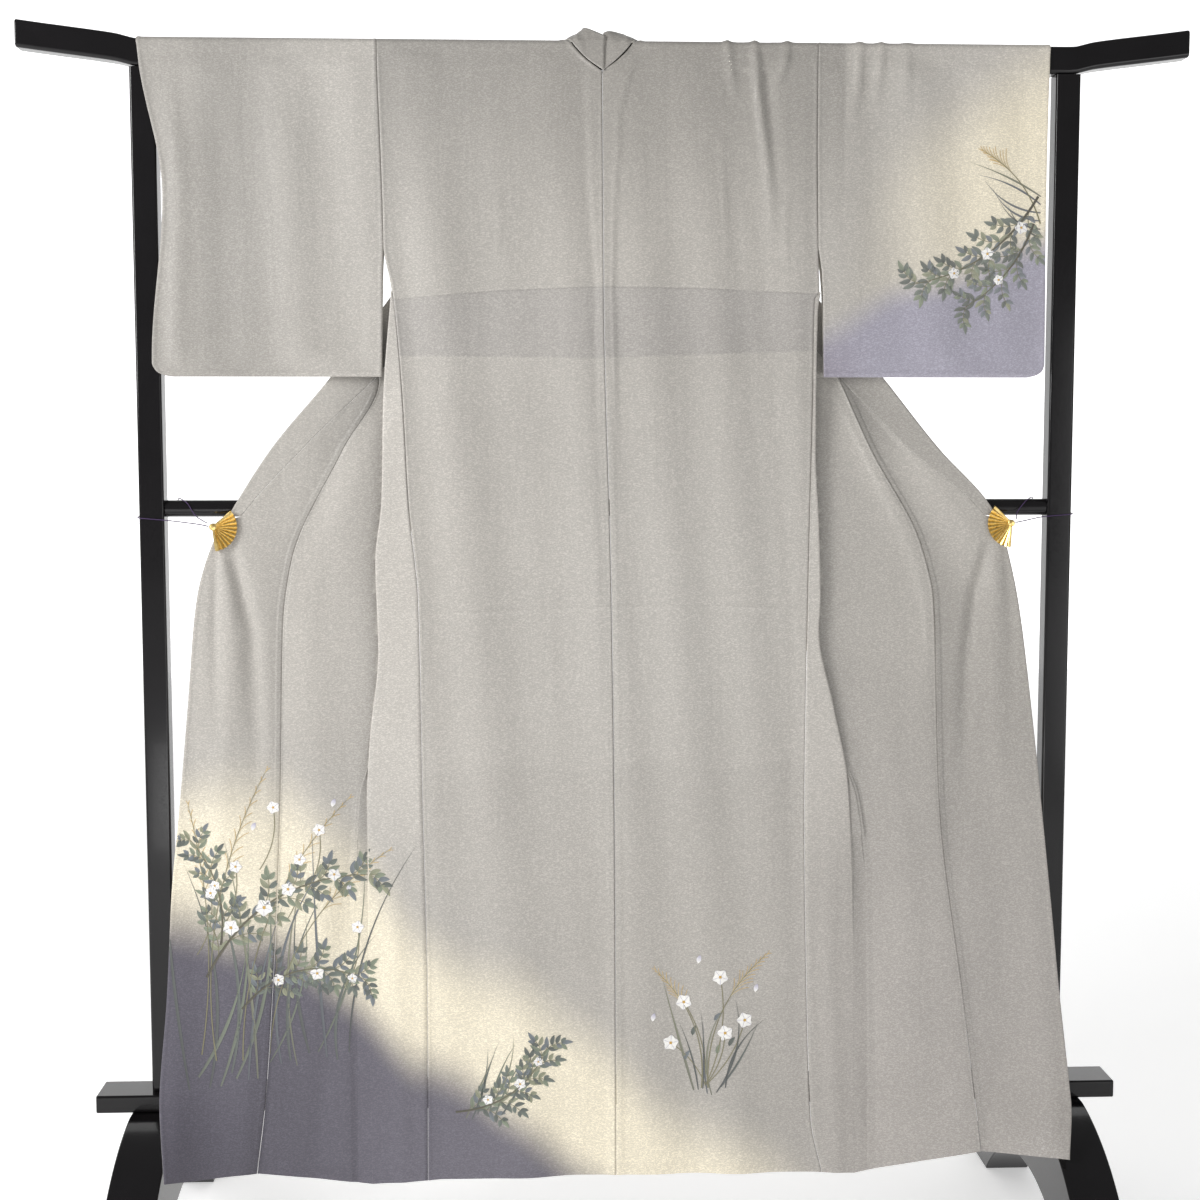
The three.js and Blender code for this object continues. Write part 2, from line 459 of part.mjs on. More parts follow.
// ---- the fan clips that hold the front edges, and their cords ------------------------------
const toManifold = (pos, idx) => {
  const g = new THREE.BufferGeometry();
  g.setAttribute('position', new THREE.Float32BufferAttribute(pos, 3));
  g.setIndex(idx);
  const m = mergeVertices(g, 1e-4);
  return new wasm.Manifold(new wasm.Mesh({ numProp: 3, vertProperties: new Float32Array(m.attributes.position.array), triVerts: new Uint32Array(m.index.array) }));
};
const CLIPS = [
  { name: 'left', pivot: [-589, 1112], from: 40, to: -83, cloth: -24.6 },
  { name: 'right', pivot: [604, 1115], from: 140, to: 263, cloth: -24.4 },
];
for (const c of CLIPS) {
  const [px, pz] = c.pivot, n = FAN_RIBS * 2;
  const plate = (y0, amp, r1, r0, t) => {
    const rows = [], steps = [r0, (r0 + r1) / 2, r1];
    for (const r of steps) {
      const row = [];
      for (let i = 0; i <= n; i++) {
        const a = mix(c.from, c.to, i / n) * Math.PI / 180;
        const k = (i % 2 ? 1 : -1) * amp * r / r1;
        row.push([px + r * Math.cos(a), y0 + k, pz + r * Math.sin(a)]);
      }
      rows.push(row);
    }
    const m = wall('x', rows, GOLD, t);
    return toManifold(Array.from(m.geometry.attributes.position.array), Array.from(m.geometry.index.array));
  };
  const frontY = c.cloth - 5.6, backY = c.cloth + 3.0;
  let solid = plate(frontY, 1.5, FAN_R, 4, FAN_T).add(plate(backY, 0.35, FAN_R * 0.8, 4, 1.2));
  const disc = (r, y0, y1) => {
    const ring = (y, rr) => Array.from({ length: 16 }, (_, i) => {
      const a = i * Math.PI / 8;
      return [px + rr * Math.cos(a), y, pz + rr * Math.sin(a)];
    });
    const { pos, idx } = loft([ring(y0, r), ring(y1, r)]);
    const m = finish('x', pos, idx, GOLD, 0.3, 1);
    return toManifold(Array.from(m.geometry.attributes.position.array), Array.from(m.geometry.index.array));
  };
  solid = solid.add(disc(5.2, frontY - 2.2, backY + 1));
  const out = solid.getMesh();
  const pos = [], np = out.numProp;
  for (let i = 0; i < out.vertProperties.length; i += np) pos.push(out.vertProperties[i], out.vertProperties[i + 1], out.vertProperties[i + 2]);
  add(finish('clip_' + c.name, pos, Array.from(out.triVerts), GOLD, 0.3, 1));
}

// a thin round cord along a smooth path
const cord = (name, pts) => {
  const curve = new THREE.CatmullRomCurve3(pts.map((p) => new THREE.Vector3(...p)), false, 'centripetal');
  const steps = 76, P = curve.getSpacedPoints(steps), sections = [];
  let up = new THREE.Vector3(0, 0, 1);
  for (let i = 0; i <= steps; i++) {
    const d = (i < steps ? P[i + 1].clone().sub(P[i]) : P[i].clone().sub(P[i - 1])).normalize();
    const e = i > 0 && i < steps ? P[i + 1].clone().sub(P[i - 1]).normalize() : d;
    up.addScaledVector(e, -up.dot(e)).normalize();
    const w = new THREE.Vector3().crossVectors(e, up).normalize();
    sections.push(Array.from({ length: 8 }, (_, k) => {
      const a = k * Math.PI / 4;
      const v = P[i].clone().addScaledVector(up, CORD_R * Math.cos(a)).addScaledVector(w, CORD_R * Math.sin(a));
      return [v.x, v.y, v.z];
    }));
    up = up.clone();
  }
  const { pos, idx } = loft(sections);
  add(finish(name, pos, idx, CORD, 0.7, 0));
};
for (const s of [-1, 1]) {
  const c = CLIPS[s < 0 ? 0 : 1], px = c.pivot[0], pz = c.pivot[1];
  const over1 = MID_Z + MID_R + 1.6;
  cord(s < 0 ? 'cord_left' : 'cord_right', [
    [px + s * 6.6, c.cloth - 5.5, pz + 1], [px + s * 25, -22, pz + 4], [s * 655, -18.6, pz + 9], [s * 690, -18, pz + 12], [s * 700.5, -16.8, pz + 13],
    [s * 702.6, -8, pz + 14], [s * 702.6, 8, pz + 16], [s * 700.5, 16.8, pz + 18], [s * 690, 18, pz + 20], [s * 672, 18, pz + 24], [s * 660, 17, pz + 27],
    [s * 650, 13, over1 - 7], [s * 646, 7, over1 - 0.2], [s * 642, 0, over1 + 0.6], [s * 636, -8, over1 - 1.6], [s * 628, -13.5, over1 - 7],
    [s * 616, -18, pz + 16], [px + s * 9, c.cloth - 1.5, pz + 5.5],
  ]);
}

export default group;
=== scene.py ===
"""The looks of the silk kimono on its lacquered stand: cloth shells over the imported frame, the stand's
finish, the fan clips and their cords, painted sprays, light, floor and camera. Lengths in the tables are
millimetres; meshes are made in metres."""

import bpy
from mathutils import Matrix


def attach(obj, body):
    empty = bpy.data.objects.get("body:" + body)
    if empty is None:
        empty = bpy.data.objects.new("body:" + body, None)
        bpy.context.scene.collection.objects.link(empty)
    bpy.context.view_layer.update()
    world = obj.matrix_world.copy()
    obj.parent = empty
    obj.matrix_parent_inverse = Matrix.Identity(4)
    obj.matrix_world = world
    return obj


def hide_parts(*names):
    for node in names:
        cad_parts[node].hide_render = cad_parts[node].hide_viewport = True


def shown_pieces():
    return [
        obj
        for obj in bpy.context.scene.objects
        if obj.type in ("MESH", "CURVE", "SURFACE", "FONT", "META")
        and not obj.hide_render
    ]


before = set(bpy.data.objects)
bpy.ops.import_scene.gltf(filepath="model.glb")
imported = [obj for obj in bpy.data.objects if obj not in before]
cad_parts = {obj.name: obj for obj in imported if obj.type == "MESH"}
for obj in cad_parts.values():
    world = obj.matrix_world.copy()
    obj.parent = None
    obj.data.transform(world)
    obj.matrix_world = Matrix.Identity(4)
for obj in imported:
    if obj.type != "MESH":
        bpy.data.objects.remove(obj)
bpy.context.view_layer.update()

import math
import random

import bpy
import numpy as np
from mathutils import Vector
from mathutils.bvhtree import BVHTree

MM = 0.001
CLOTH_T = 1.1      # silk and lining together
LOW = 300.0

# ---- tables, the same lines as the frame's: [z, x, y] ------------------------------------------
NEAR = [[1781, -20], [1650, -22], [1459, -27], [1298, -31], [1050, -34], [750, -38], [450, -46], [250, -54], [121, -58]]
LAYER_A = [[1800, 18.8], [1700, 17.5], [1600, 12], [1524, 2], [1459, -9], [1390, -15], [1330, -19], [1225, -24], [1151, -26.5], [1057, -28], [927, -31], [791, -35], [700, -38.5], [555, -43.3], [121, -58]]
LAYER_B = [[1800, 23.2], [1700, 22], [1600, 17], [1524, 8], [1459, -3], [1390, -8.5], [1330, -12], [1225, -17.5], [1151, -20.3], [1057, -22.3], [927, -26], [791, -32], [700, -37], [555, -43.3], [121, -58]]
FRONT_EDGE_Y = [[1800, 18.8], [1650, 15], [1560, 8], [1524, 1], [1490, -13], [1459, -24]]
BAND = [[1775, 34], [1740, 50], [1690, 62], [1645, 67], [1601, 68], [1335, 68], [1225, 46], [1160, 26], [1122, 17]]
CENTRE = {"hem": 125, "at": [[1777, -12, -20.1], [1446, -10, -27.3], [1002, 1, -34.7], [547, 6, -43.5], [125, 7, -57.9]]}
LEFT = {
    "centre": CENTRE,
    "side": {"hem": 121, "at": [[1781, -341, -20], [1589, -335, -23.6], [1524, -334, -25.3], [1459, -322, -27], [1298, -308, -31], [1151, -301, -32.8], [1003, -287, -34.6], [702, -283, -39.4], [398, -278, -48.4], [121, -279, -58]]},
    "fold": {"hem": 117, "at": [[1459, -323, -27], [1298, -336, -31], [1151, -340, -32.8], [1058, -350, -33.9], [928, -347, -35.6], [793, -361, -37.5], [703, -366, -39.3], [555, -366, -43.3], [117, -363, -58]]},
    "inner": {"hem": 120, "at": [[1775, -72, 0], [1740, -80, 0], [1690, -94, 0], [1645, -105, 0], [1601, -117, 0], [1459, -193, 0], [1298, -233, 0], [1151, -280, 0], [1057, -312, 0], [927, -324, 0], [791, -352, 0], [700, -378, 0], [555, -384, 0], [120, -384, 0]]},
    "okumi": {"hem": 158, "at": [[1335, -343, -8], [1329, -343, -8.4], [1225, -398, -15], [1057, -476, -21.5], [966, -489, -23.2], [704, -495, -38.1], [407, -508, -67.3], [261, -517, -88.6], [158, -528, -109.5]]},
    "edge": {"hem": 178, "at": [[1775, -109, 24], [1740, -135, 24], [1690, -166, 23.5], [1645, -191, 22], [1601, -219, 19], [1524, -274, 10], [1459, -321, 3], [1331, -417, -8.4], [1225, -505, -17], [1114, -575, -25], [1084, -592, -26], [1000, -616, -28], [854, -630, -32], [705, -643, -42], [558, -656, -58], [413, -661, -82], [289, -667, -115], [178, -648, -190]]},
    "ridge": -341, "neck": -72,
}
RIGHT = {
    "centre": CENTRE,
    "side": {"hem": 123, "at": [[1781, 306, -20], [1667, 306, -21.8], [1524, 308, -25.3], [1459, 310, -27], [1447, 303, -27.3], [1302, 301, -30.9], [1001, 296, -34.7], [697, 293, -39.5], [390, 298, -48.7], [204, 305, -55.6], [123, 322, -57.9]]},
    "fold": {"hem": 121, "at": [[1459, 312, -27], [1430, 308, -28], [1298, 306, -31], [1225, 306, -31.9], [1108, 312, -33.3], [1001, 315, -34.7], [955, 313, -35.3], [840, 336, -36.8], [723, 359, -38.8], [555, 368, -43.3], [121, 372, -58]]},
    "inner": {"hem": 125, "at": [[1775, 49, 0], [1740, 58, 0], [1690, 74, 0], [1645, 86, 0], [1601, 98, 0], [1459, 184, 0], [1298, 208, 0], [1151, 252, 0], [1057, 279, 0], [927, 296, 0], [791, 334, 0], [700, 372, 0], [555, 388, 0], [125, 392, 0]]},
    "okumi": {"hem": 172, "at": [[1335, 341, -8], [1333, 342, -8.2], [1225, 392, -15], [1083, 468, -20.7], [999, 488, -22.6], [696, 498, -38.8], [393, 533, -69.1], [172, 555, -106.8]]},
    "edge": {"hem": 188, "at": [[1775, 86, 24], [1740, 113, 24], [1690, 146, 23.5], [1645, 172, 22], [1601, 200, 19], [1524, 255, 10], [1459, 306, 3], [1333, 411, -8.2], [1225, 497, -17], [1150, 567, -23.1], [1117, 588, -24.8], [1090, 596, -25.8], [999, 617, -28], [847, 638, -32.5], [695, 654, -43.2], [456, 673, -74.8], [260, 682, -132.1], [188, 666, -182.5]]},
    "ridge": 306, "neck": 47,
}
SLEEVE_L = {"inner": [[1822, -341], [1781, -341], [1589, -335], [1524, -334], [1490, -335.5], [1459, -336], [1333, -338]],
            "near": [[1822, -688], [1781, -684], [1601, -654], [1353, -674], [1341, -668], [1335, -656], [1333, -645]],
            "far": [[1822, -661], [1740, -659], [1680, -657], [1640, -655], [1601, -654], [1353, -674], [1341, -668], [1335, -656], [1333, -645]]}
SLEEVE_R = {"inner": [[1822, 306], [1667, 306], [1524, 308], [1490, 313.5], [1459, 315.5], [1333, 318]],
            "near": [[1822, 652], [1741, 650], [1601, 649], [1353, 651], [1343, 648], [1336, 638], [1333, 626]],
            "far": [[1822, 652], [1741, 650], [1601, 649], [1353, 651], [1343, 648], [1336, 638], [1333, 626]]}
SL_NEAR_IN = [[1781, -20], [1650, -22], [1524, -25.2], [1459, -25], [1333, -24.4]]
SL_NEAR_OUT = [[1781, -20], [1601, -21.5], [1333, -23.2]]
SL_FAR_IN = [[1800, 18.8], [1650, 15], [1560, 8], [1524, 1], [1490, -5], [1450, -10.5], [1400, -16], [1333, -20.5]]
SL_FAR_OUT = [[1790, 19.5], [1740, 15], [1680, 5], [1640, -6], [1601, -17.6], [1333, -19.6]]
NECK_L = [
    [[-9, -23.6, 1777], [-9, -22.8, 1796], [-8.6, -21.6, 1814], [-7, -18.6, 1829]],
    [[-34, -22.9, 1794], [-34, -21.4, 1812], [-34.4, -18.2, 1827], [-35, -12, 1841]],
    [[-51.5, -21.4, 1812], [-49.5, -19.6, 1824], [-46.5, -11, 1834], [-42, -2, 1840]],
    [[-57.5, -18.9, 1821], [-53, -12, 1829], [-48, -4, 1835], [-40, 4, 1839]],
    [[-65.8, -8, 1825], [-57, 0, 1832], [-47, 6, 1836], [-36, 12, 1836]],
    [[-66, 9, 1825], [-56, 15, 1831], [-46, 21, 1832], [-34, 27, 1829]],
]
NECK_R = [
    [[-12, -21.9, 1777], [-12, -20.8, 1796], [-11.6, -19, 1814], [-10.4, -15, 1834]],
    [[9, -22.9, 1794], [8, -21.4, 1811], [4, -18.2, 1825], [-2, -12, 1837]],
    [[26.5, -21.4, 1812], [24, -19.6, 1823], [19.5, -11, 1832], [11, -2, 1837]],
    [[32, -18.9, 1821], [27, -12, 1828], [21, -4, 1833], [10, 4, 1836]],
    [[40, -8, 1825], [31, 0, 1831], [21, 6, 1834], [10, 12, 1834]],
    [[41, 9, 1825], [31, 15, 1830], [21, 21, 1831], [9, 27, 1828]],
]
TURN = [[1822.6, 0.2, 4, 46], [1822.6, 11, 12, 45], [1821.6, 14.9, 22, 43], [1818.7, 17.4, 36, 41], [1812, 18.8, 66, 38], [1803, 18.9, 104, 35], [1794, 18.9, 140, 33], [1785, 18.9, 170, 32]]


# ---- numbers -----------------------------------------------------------------------------------
class Smooth:
    """A monotone cubic through a table's points, so that a line bends without kinks."""

    def __init__(self, table, k=1):
        t = sorted([r[0], r[k]] for r in table)
        self.z = np.array([r[0] for r in t], float)
        self.v = np.array([r[1] for r in t], float)
        h, d = np.diff(self.z), np.diff(self.v) / np.diff(self.z)
        m = np.zeros(len(t))
        m[0], m[-1] = d[0], d[-1]
        for i in range(1, len(t) - 1):
            if d[i - 1] * d[i] > 0:
                a, b = 2 * h[i] + h[i - 1], h[i] + 2 * h[i - 1]
                m[i] = (a + b) / (a / d[i - 1] + b / d[i])
        self.h, self.m = h, m

    def __call__(self, q):
        q = np.clip(np.asarray(q, float), self.z[0], self.z[-1])
        i = np.clip(np.searchsorted(self.z, q, side="right") - 1, 0, len(self.z) - 2)
        h = self.h[i]
        t = (q - self.z[i]) / h
        return ((1 + 2 * t) * (1 - t) ** 2 * self.v[i] + t * (1 - t) ** 2 * h * self.m[i]
                + t * t * (3 - 2 * t) * self.v[i + 1] + t * t * (t - 1) * h * self.m[i + 1])


def lerp_table(table, q, k=1):
    t = sorted([r[0], r[k]] for r in table)
    return np.interp(q, [r[0] for r in t], [r[1] for r in t])


class Line:
    def __init__(self, d):
        self.hem, self.x, self.y = d["hem"], Smooth(d["at"], 1), Smooth(d["at"], 2)

    def at(self, q):
        z = q if q >= LOW else LOW - (LOW - q) * (LOW - self.hem) / (LOW - 100)
        return np.array([float(self.x(z)), float(self.y(z)), z])


def lines(side):
    return {**{k: Line(side[k]) for k in ("centre", "side", "fold", "inner", "okumi", "edge")},
            "ridge": side["ridge"], "neck": side["neck"]}


LN = {"left": lines(LEFT), "right": lines(RIGHT)}
near_y, layer_a, layer_b = Smooth(NEAR), Smooth(LAYER_A), Smooth(LAYER_B)
edge_y = Smooth(FRONT_EDGE_Y)


def bump(d, width):
    return np.exp(-(d / width) ** 2)


def step(x, a, b):
    t = np.clip((x - a) / (b - a), 0, 1)
    return t * t * (3 - 2 * t)


def band_of(z, lo, hi, soft_lo, soft_hi):
    return step(z, lo - soft_lo, lo + soft_lo) * (1 - step(z, hi - soft_hi, hi + soft_hi))


def path_x(pts, z):
    """x of a fold line given as [x, z] points, at heights z."""
    p = sorted([b, a] for a, b in pts)
    return np.interp(z, [r[0] for r in p], [r[1] for r in p])


rng = np.random.default_rng(7)
WAVES = [(rng.uniform(0.5, 1.0), rng.uniform(-0.0025, 0.0025), rng.uniform(0, 6.28), k) for k in (0.021, 0.034, 0.047, 0.061)]


def slow(x, z, seed=0):
    """Long, low, nearly upright waves of hanging cloth, in millimetres."""
    s = np.zeros_like(x, dtype=float)
    for i, (a, lean, ph, k) in enumerate(WAVES):
        s += a * np.sin(k * (x + lean * 60 * (z - 900) * 0.1) + ph + seed * 1.7 + 0.0016 * (i + 1) * z)
    return s / 2.2


# folds of the near faces: [[x, z], ...], half width, height, z range over which it fades [full, gone]
FOLDS = [
    ([[171, 1830], [179, 1766], [190, 1708]], 4.5, 3.2, 1800, 1725),
    ([[192, 1830], [196, 1780]], 4.0, -1.6, 1800, 1760),
    ([[213, 1830], [217, 1752], [232, 1637], [243, 1520], [252, 1470]], 5.0, 3.4, 1740, 1475),
    ([[224, 1830], [232, 1752], [246, 1637], [256, 1540]], 7.0, -1.8, 1740, 1520),
    ([[262, 1830], [257, 1790], [238, 1740]], 4.6, 3.0, 1800, 1735),
    ([[369, 1830], [364, 1753], [353, 1681]], 5.0, 3.0, 1790, 1690),
    ([[401, 1830], [396, 1768], [385, 1700]], 5.0, 2.6, 1790, 1710),
    ([[440, 1830], [436, 1768], [430, 1720]], 7.0, 1.6, 1790, 1700),
    ([[-164, 1560], [-168, 1500]], 2.6, 0.6, 1540, 1490),
    ([[165, 1640], [176, 1470]], 3.0, 0.8, 1560, 1480),
    ([[258, 1540], [262, 1470]], 3.0, 0.9, 1520, 1480),
]


def fold_relief(x, z):
    s = np.zeros_like(x, dtype=float)
    for pts, w, h, full, gone in FOLDS:
        top = max(p[1] for p in pts) + 5
        fade = step(z, gone, full) if full > gone else 1
        s += 1.7 * h * bump(x - path_x(pts, z), w * 1.15) * fade * (z < top + 40) * (1 - 0.45 * step(z, 1795, 1815))
    return s


TUCK = [[-330, 1445], [-164, 1460], [-10, 1466], [132, 1464], [310, 1456]]
TUCK_LOW = [[-330, 1364], [-16, 1361], [310, 1372]]
CREASE = [[-380, 968], [-315, 975], [-240, 981], [-136, 986], [-16, 990], [135, 991], [300, 986]]


def across(table, x):
    return np.interp(x, [r[0] for r in table], [r[1] for r in table])


def back_relief(x, z, u):
    """Height out of the back panel: u is 0 at the centre seam and 1 at the side seam."""
    xc = CENTRE_X(np.clip(z, 125, 1777))
    d = x - xc
    edge = np.clip(np.minimum(u, 1 - u) * 14, 0, 1)
    s = 5.2 * slow(x, z) * edge * (0.35 + 0.65 * step(z, 1750, 1500)) * (1 - 0.35 * step(z, 900, 300))
    # the seam allowance makes a raised band each side of the centre seam, with the pleats over it
    up = step(z, 1180, 1400) * (1 - 0.7 * step(z, 1765, 1800))
    lx = path_x([[-34, 1780], [-34, 1750], [-30, 1620], [-19, 1475], [-17, 1200]], z)
    rx = path_x([[38, 1800], [36, 1793], [16, 1721], [13, 1660], [8, 1592], [5, 1461], [12, 1200]], z)
    s += up * (1.5 * step(x, lx - 5, lx + 3) * (1 - step(x, rx - 1.5, rx + 1.5)))
    s += up * 0.9 * bump(x - (rx - 3), 2.6)
    s -= up * 0.5 * bump(x - (lx - 7), 4)
    s += 0.8 * band_of(d, -11, 10, 3, 3) * (1 - up)
    s += 0.55 * bump(d + 3.0, 2.2) - 1.25 * bump(d, 0.9)
    # body tuck, its lower edge inside, and the crease of folding
    t = z - across(TUCK, x)
    s += 0.55 * (1 - step(t, -1.2, 0.6)) * step(t, -40, -6) - 0.5 * bump(t + 0.4, 1.1)
    s += 0.35 * bump(z - across(TUCK_LOW, x), 3.0)
    c = z - across(CREASE, x)
    s += (0.9 * bump(c, 3.2) - 0.5 * bump(c + 7, 5)) * (0.35 + 0.65 * (0.5 + 0.5 * np.sin(x * 0.031 + 1)))
    # hem: rolled edge, and a slow flutter
    s += 0.9 * bump(z - 128, 9) + 2.2 * np.sin(x * 0.037 + 0.6) * step(z, 520, 130)
    s += fold_relief(x, z)
    # side seams lie flat with a shallow turned edge
    sd = np.abs(u - 1) * 310
    s += 0.55 * bump(sd - 3.2, 2.2) - 0.9 * bump(sd, 0.9)
    return s


CENTRE_X = Smooth(CENTRE["at"], 1)


# ---- dye, with painted shade and painted light -------------------------------------------------
def lin(r, g, b):
    return np.array([(c / 255 / 12.92) if c <= 10.3 else ((c / 255 + 0.055) / 1.055) ** 2.4 for c in (r, g, b)])


GREY, GREY_DEEP = lin(176, 172, 166), lin(168, 163, 156)
CREAM, PURPLE, PURPLE_DEEP = lin(228, 219, 197), lin(106, 103, 112), lin(90, 87, 97)
SLEEVE_PURPLE = lin(158, 155, 167)
LINING, LINING_HEM = lin(236, 232, 222), lin(176, 170, 163)
LOW_EDGE = [[-720, 532], [-694, 526], [-620, 515], [-575, 494], [-486, 478], [-396, 391], [-306, 300], [-215, 256], [-123, 176], [-15, 96], [100, -40]]
LOW_FADE = [[-720, 722], [-691, 722], [-571, 726], [-482, 716], [-393, 633], [-304, 515], [-214, 444], [-123, 411], [-31, 340], [62, 236], [155, 187], [248, 129], [342, 64], [500, -60]]
SL_EDGE = [[312, 1391], [326, 1399], [416, 1448], [505, 1481], [595, 1515], [655, 1540]]
SL_FADE = [[310, 1542], [325, 1557], [413, 1638], [502, 1689], [590, 1748], [655, 1782]]


def mixc(a, b, f):
    return a + (b - a) * f[:, None]


def wobble(x, z, k, a, ph=0.0):
    return a * (np.sin(k * x + 1.3 * k * z + ph) + 0.6 * np.sin(2.3 * k * x - 0.7 * k * z + 2 + ph))


def dye_and_painted_light(P, what):
    """The colour of the outer face at points P (mm): dye, with painted shade and painted light where noted. Tones shade
    into each other, as brushed dye does.
    """
    k = 2575 / (2600 + P[:, 1])
    x = -123.4 + (P[:, 0] + 123.4) * k
    z = 1220.2 + (P[:, 2] - 1220.2) * k
    tone = 0.5 + 0.5 * np.sin(x * 0.006 + 1.1) * np.sin(z * 0.0047)
    c = mixc(np.tile(GREY, (len(x), 1)), GREY_DEEP, 0.45 * tone)
    # painted shade: the ground is darker toward the shoulders, and darker toward the right below the sleeves
    c = c * (1 - 0.24 * step(z, 1480, 1820) * (np.abs(x) < 345) - 0.13 * step(x, 120, 620) * (1 - step(z, 1250, 1500)))[:, None]
    if what == "sleeve_right":
        e, f = across(SL_EDGE, x) + wobble(x, z, 0.02, 4), across(SL_FADE, x)
        c = mixc(c, lin(196, 191, 184), step(x, 420, 640) * 0.8)
        cream = (1 - step(z, f - 70, f + 90)) * step(x, 330, 620)
        c = mixc(c, CREAM, cream)
        c = mixc(c, SLEEVE_PURPLE, 1 - step(z, e - 34, e + 34))
        return mixc(c, lin(140, 134, 144), 0.7 * (1 - step(x, 312, 400)) * (1 - step(z, 1340, 1420)))
    if what == "sleeve_left":
        # painted shade and light on the left sleeve: darker toward its outer edge, with a narrow painted highlight
        # streak near that edge
        return c * (0.74 + 0.26 * step(x, -560, -400) + 0.06 * band_of(x, -672, -602, 14, 14))[:, None]
    if what == "collar":
        return c
    e, f = across(LOW_EDGE, x) + wobble(x, z, 0.017, 7), across(LOW_FADE, x) + wobble(x, z, 0.011, 10, 1)
    cream = 1 - step(z, f - 85, f + 60)
    c = mixc(c, CREAM, cream * 0.96)
    deep = step(-x, 100, 620)
    p = mixc(np.tile(PURPLE, (len(x), 1)), PURPLE_DEEP, deep)
    c = mixc(c, p, 1 - step(z, e - 62, e + 52))
    # grey shading over the far hem, and the hem lining showing faintly through
    c = mixc(c, lin(158, 152, 148), 0.5 * step(x, 180, 420) * (1 - step(z, 250, 1100)))
    if what == "back":
        # painted shade: the inner tuck shows through the silk as a slightly darker, bluer band
        t = band_of(z, across(TUCK_LOW, x), across(TUCK, x), 1.6, 1.0)
        c = c * (1 - 0.115 * t[:, None]) + np.array([0, 0, 0.006]) * t[:, None]
        through = 1 - step(z, 742 + 6 * np.sin(x * 0.03), 752 + 6 * np.sin(x * 0.03))
        c = c * (1 - 0.045 * through[:, None] * (1 - cream)[:, None])
        seam = np.exp(-((x - CENTRE_X(np.clip(z, 125, 1777))) / 0.9) ** 2)
        c = c * (1 - 0.45 * seam[:, None])
    return c


def fold_shade(P, side, what):
    """Soft shade where one layer passes under the next, as a factor on the colour."""
    L = LN[side]
    s = -1 if side == "left" else 1
    z = np.clip(P[:, 2], 121, 1459)
    xf = L["fold"].x(z)
    d = s * (P[:, 0] - xf)
    lay = (P[:, 1] > float(0) - 1e9)
    up = band_of(P[:, 2], 480, 1330, 160, 60)
    f = 1 - 0.26 * np.exp(-np.maximum(d, 0) / 26.0) * (d > 0.4) * up
    # the narrow strip between the side seam and the fold catches more light
    f = f * (1 + 0.17 * (d <= 0.4) * step(P[:, 2], 1459, 1300) * step(P[:, 2], 520, 800))
    # light caught by the panel beside the overlap seam
    xk = L["okumi"].x(np.clip(P[:, 2], 158, 1335))
    e = s * (xk - P[:, 0])
    f = f * (1 + 0.12 * np.exp(-((e - 22) / 24) ** 2) * band_of(P[:, 2], 860, 1300, 120, 60))
    return np.where(lay, f, 1)


def lining_dye(P):
    z = P[:, 2]
    return mixc(np.tile(LINING, (len(z), 1)), LINING_HEM, 1 - step(z, 660, 735))


# ---- materials ---------------------------------------------------------------------------------
def new_mat(name):
    m = bpy.data.materials.new(name)
    m.use_nodes = True
    nt = m.node_tree
    b = nt.nodes["Principled BSDF"]
    return m, nt, b


def nd(nt, kind, **sets):
    n = nt.nodes.new(kind)
    for k, v in sets.items():
        if k in n.inputs:
            n.inputs[k].default_value = v
        else:
            setattr(n, k, v)
    return n


def link(nt, a, b):
    nt.links.new(a, b)


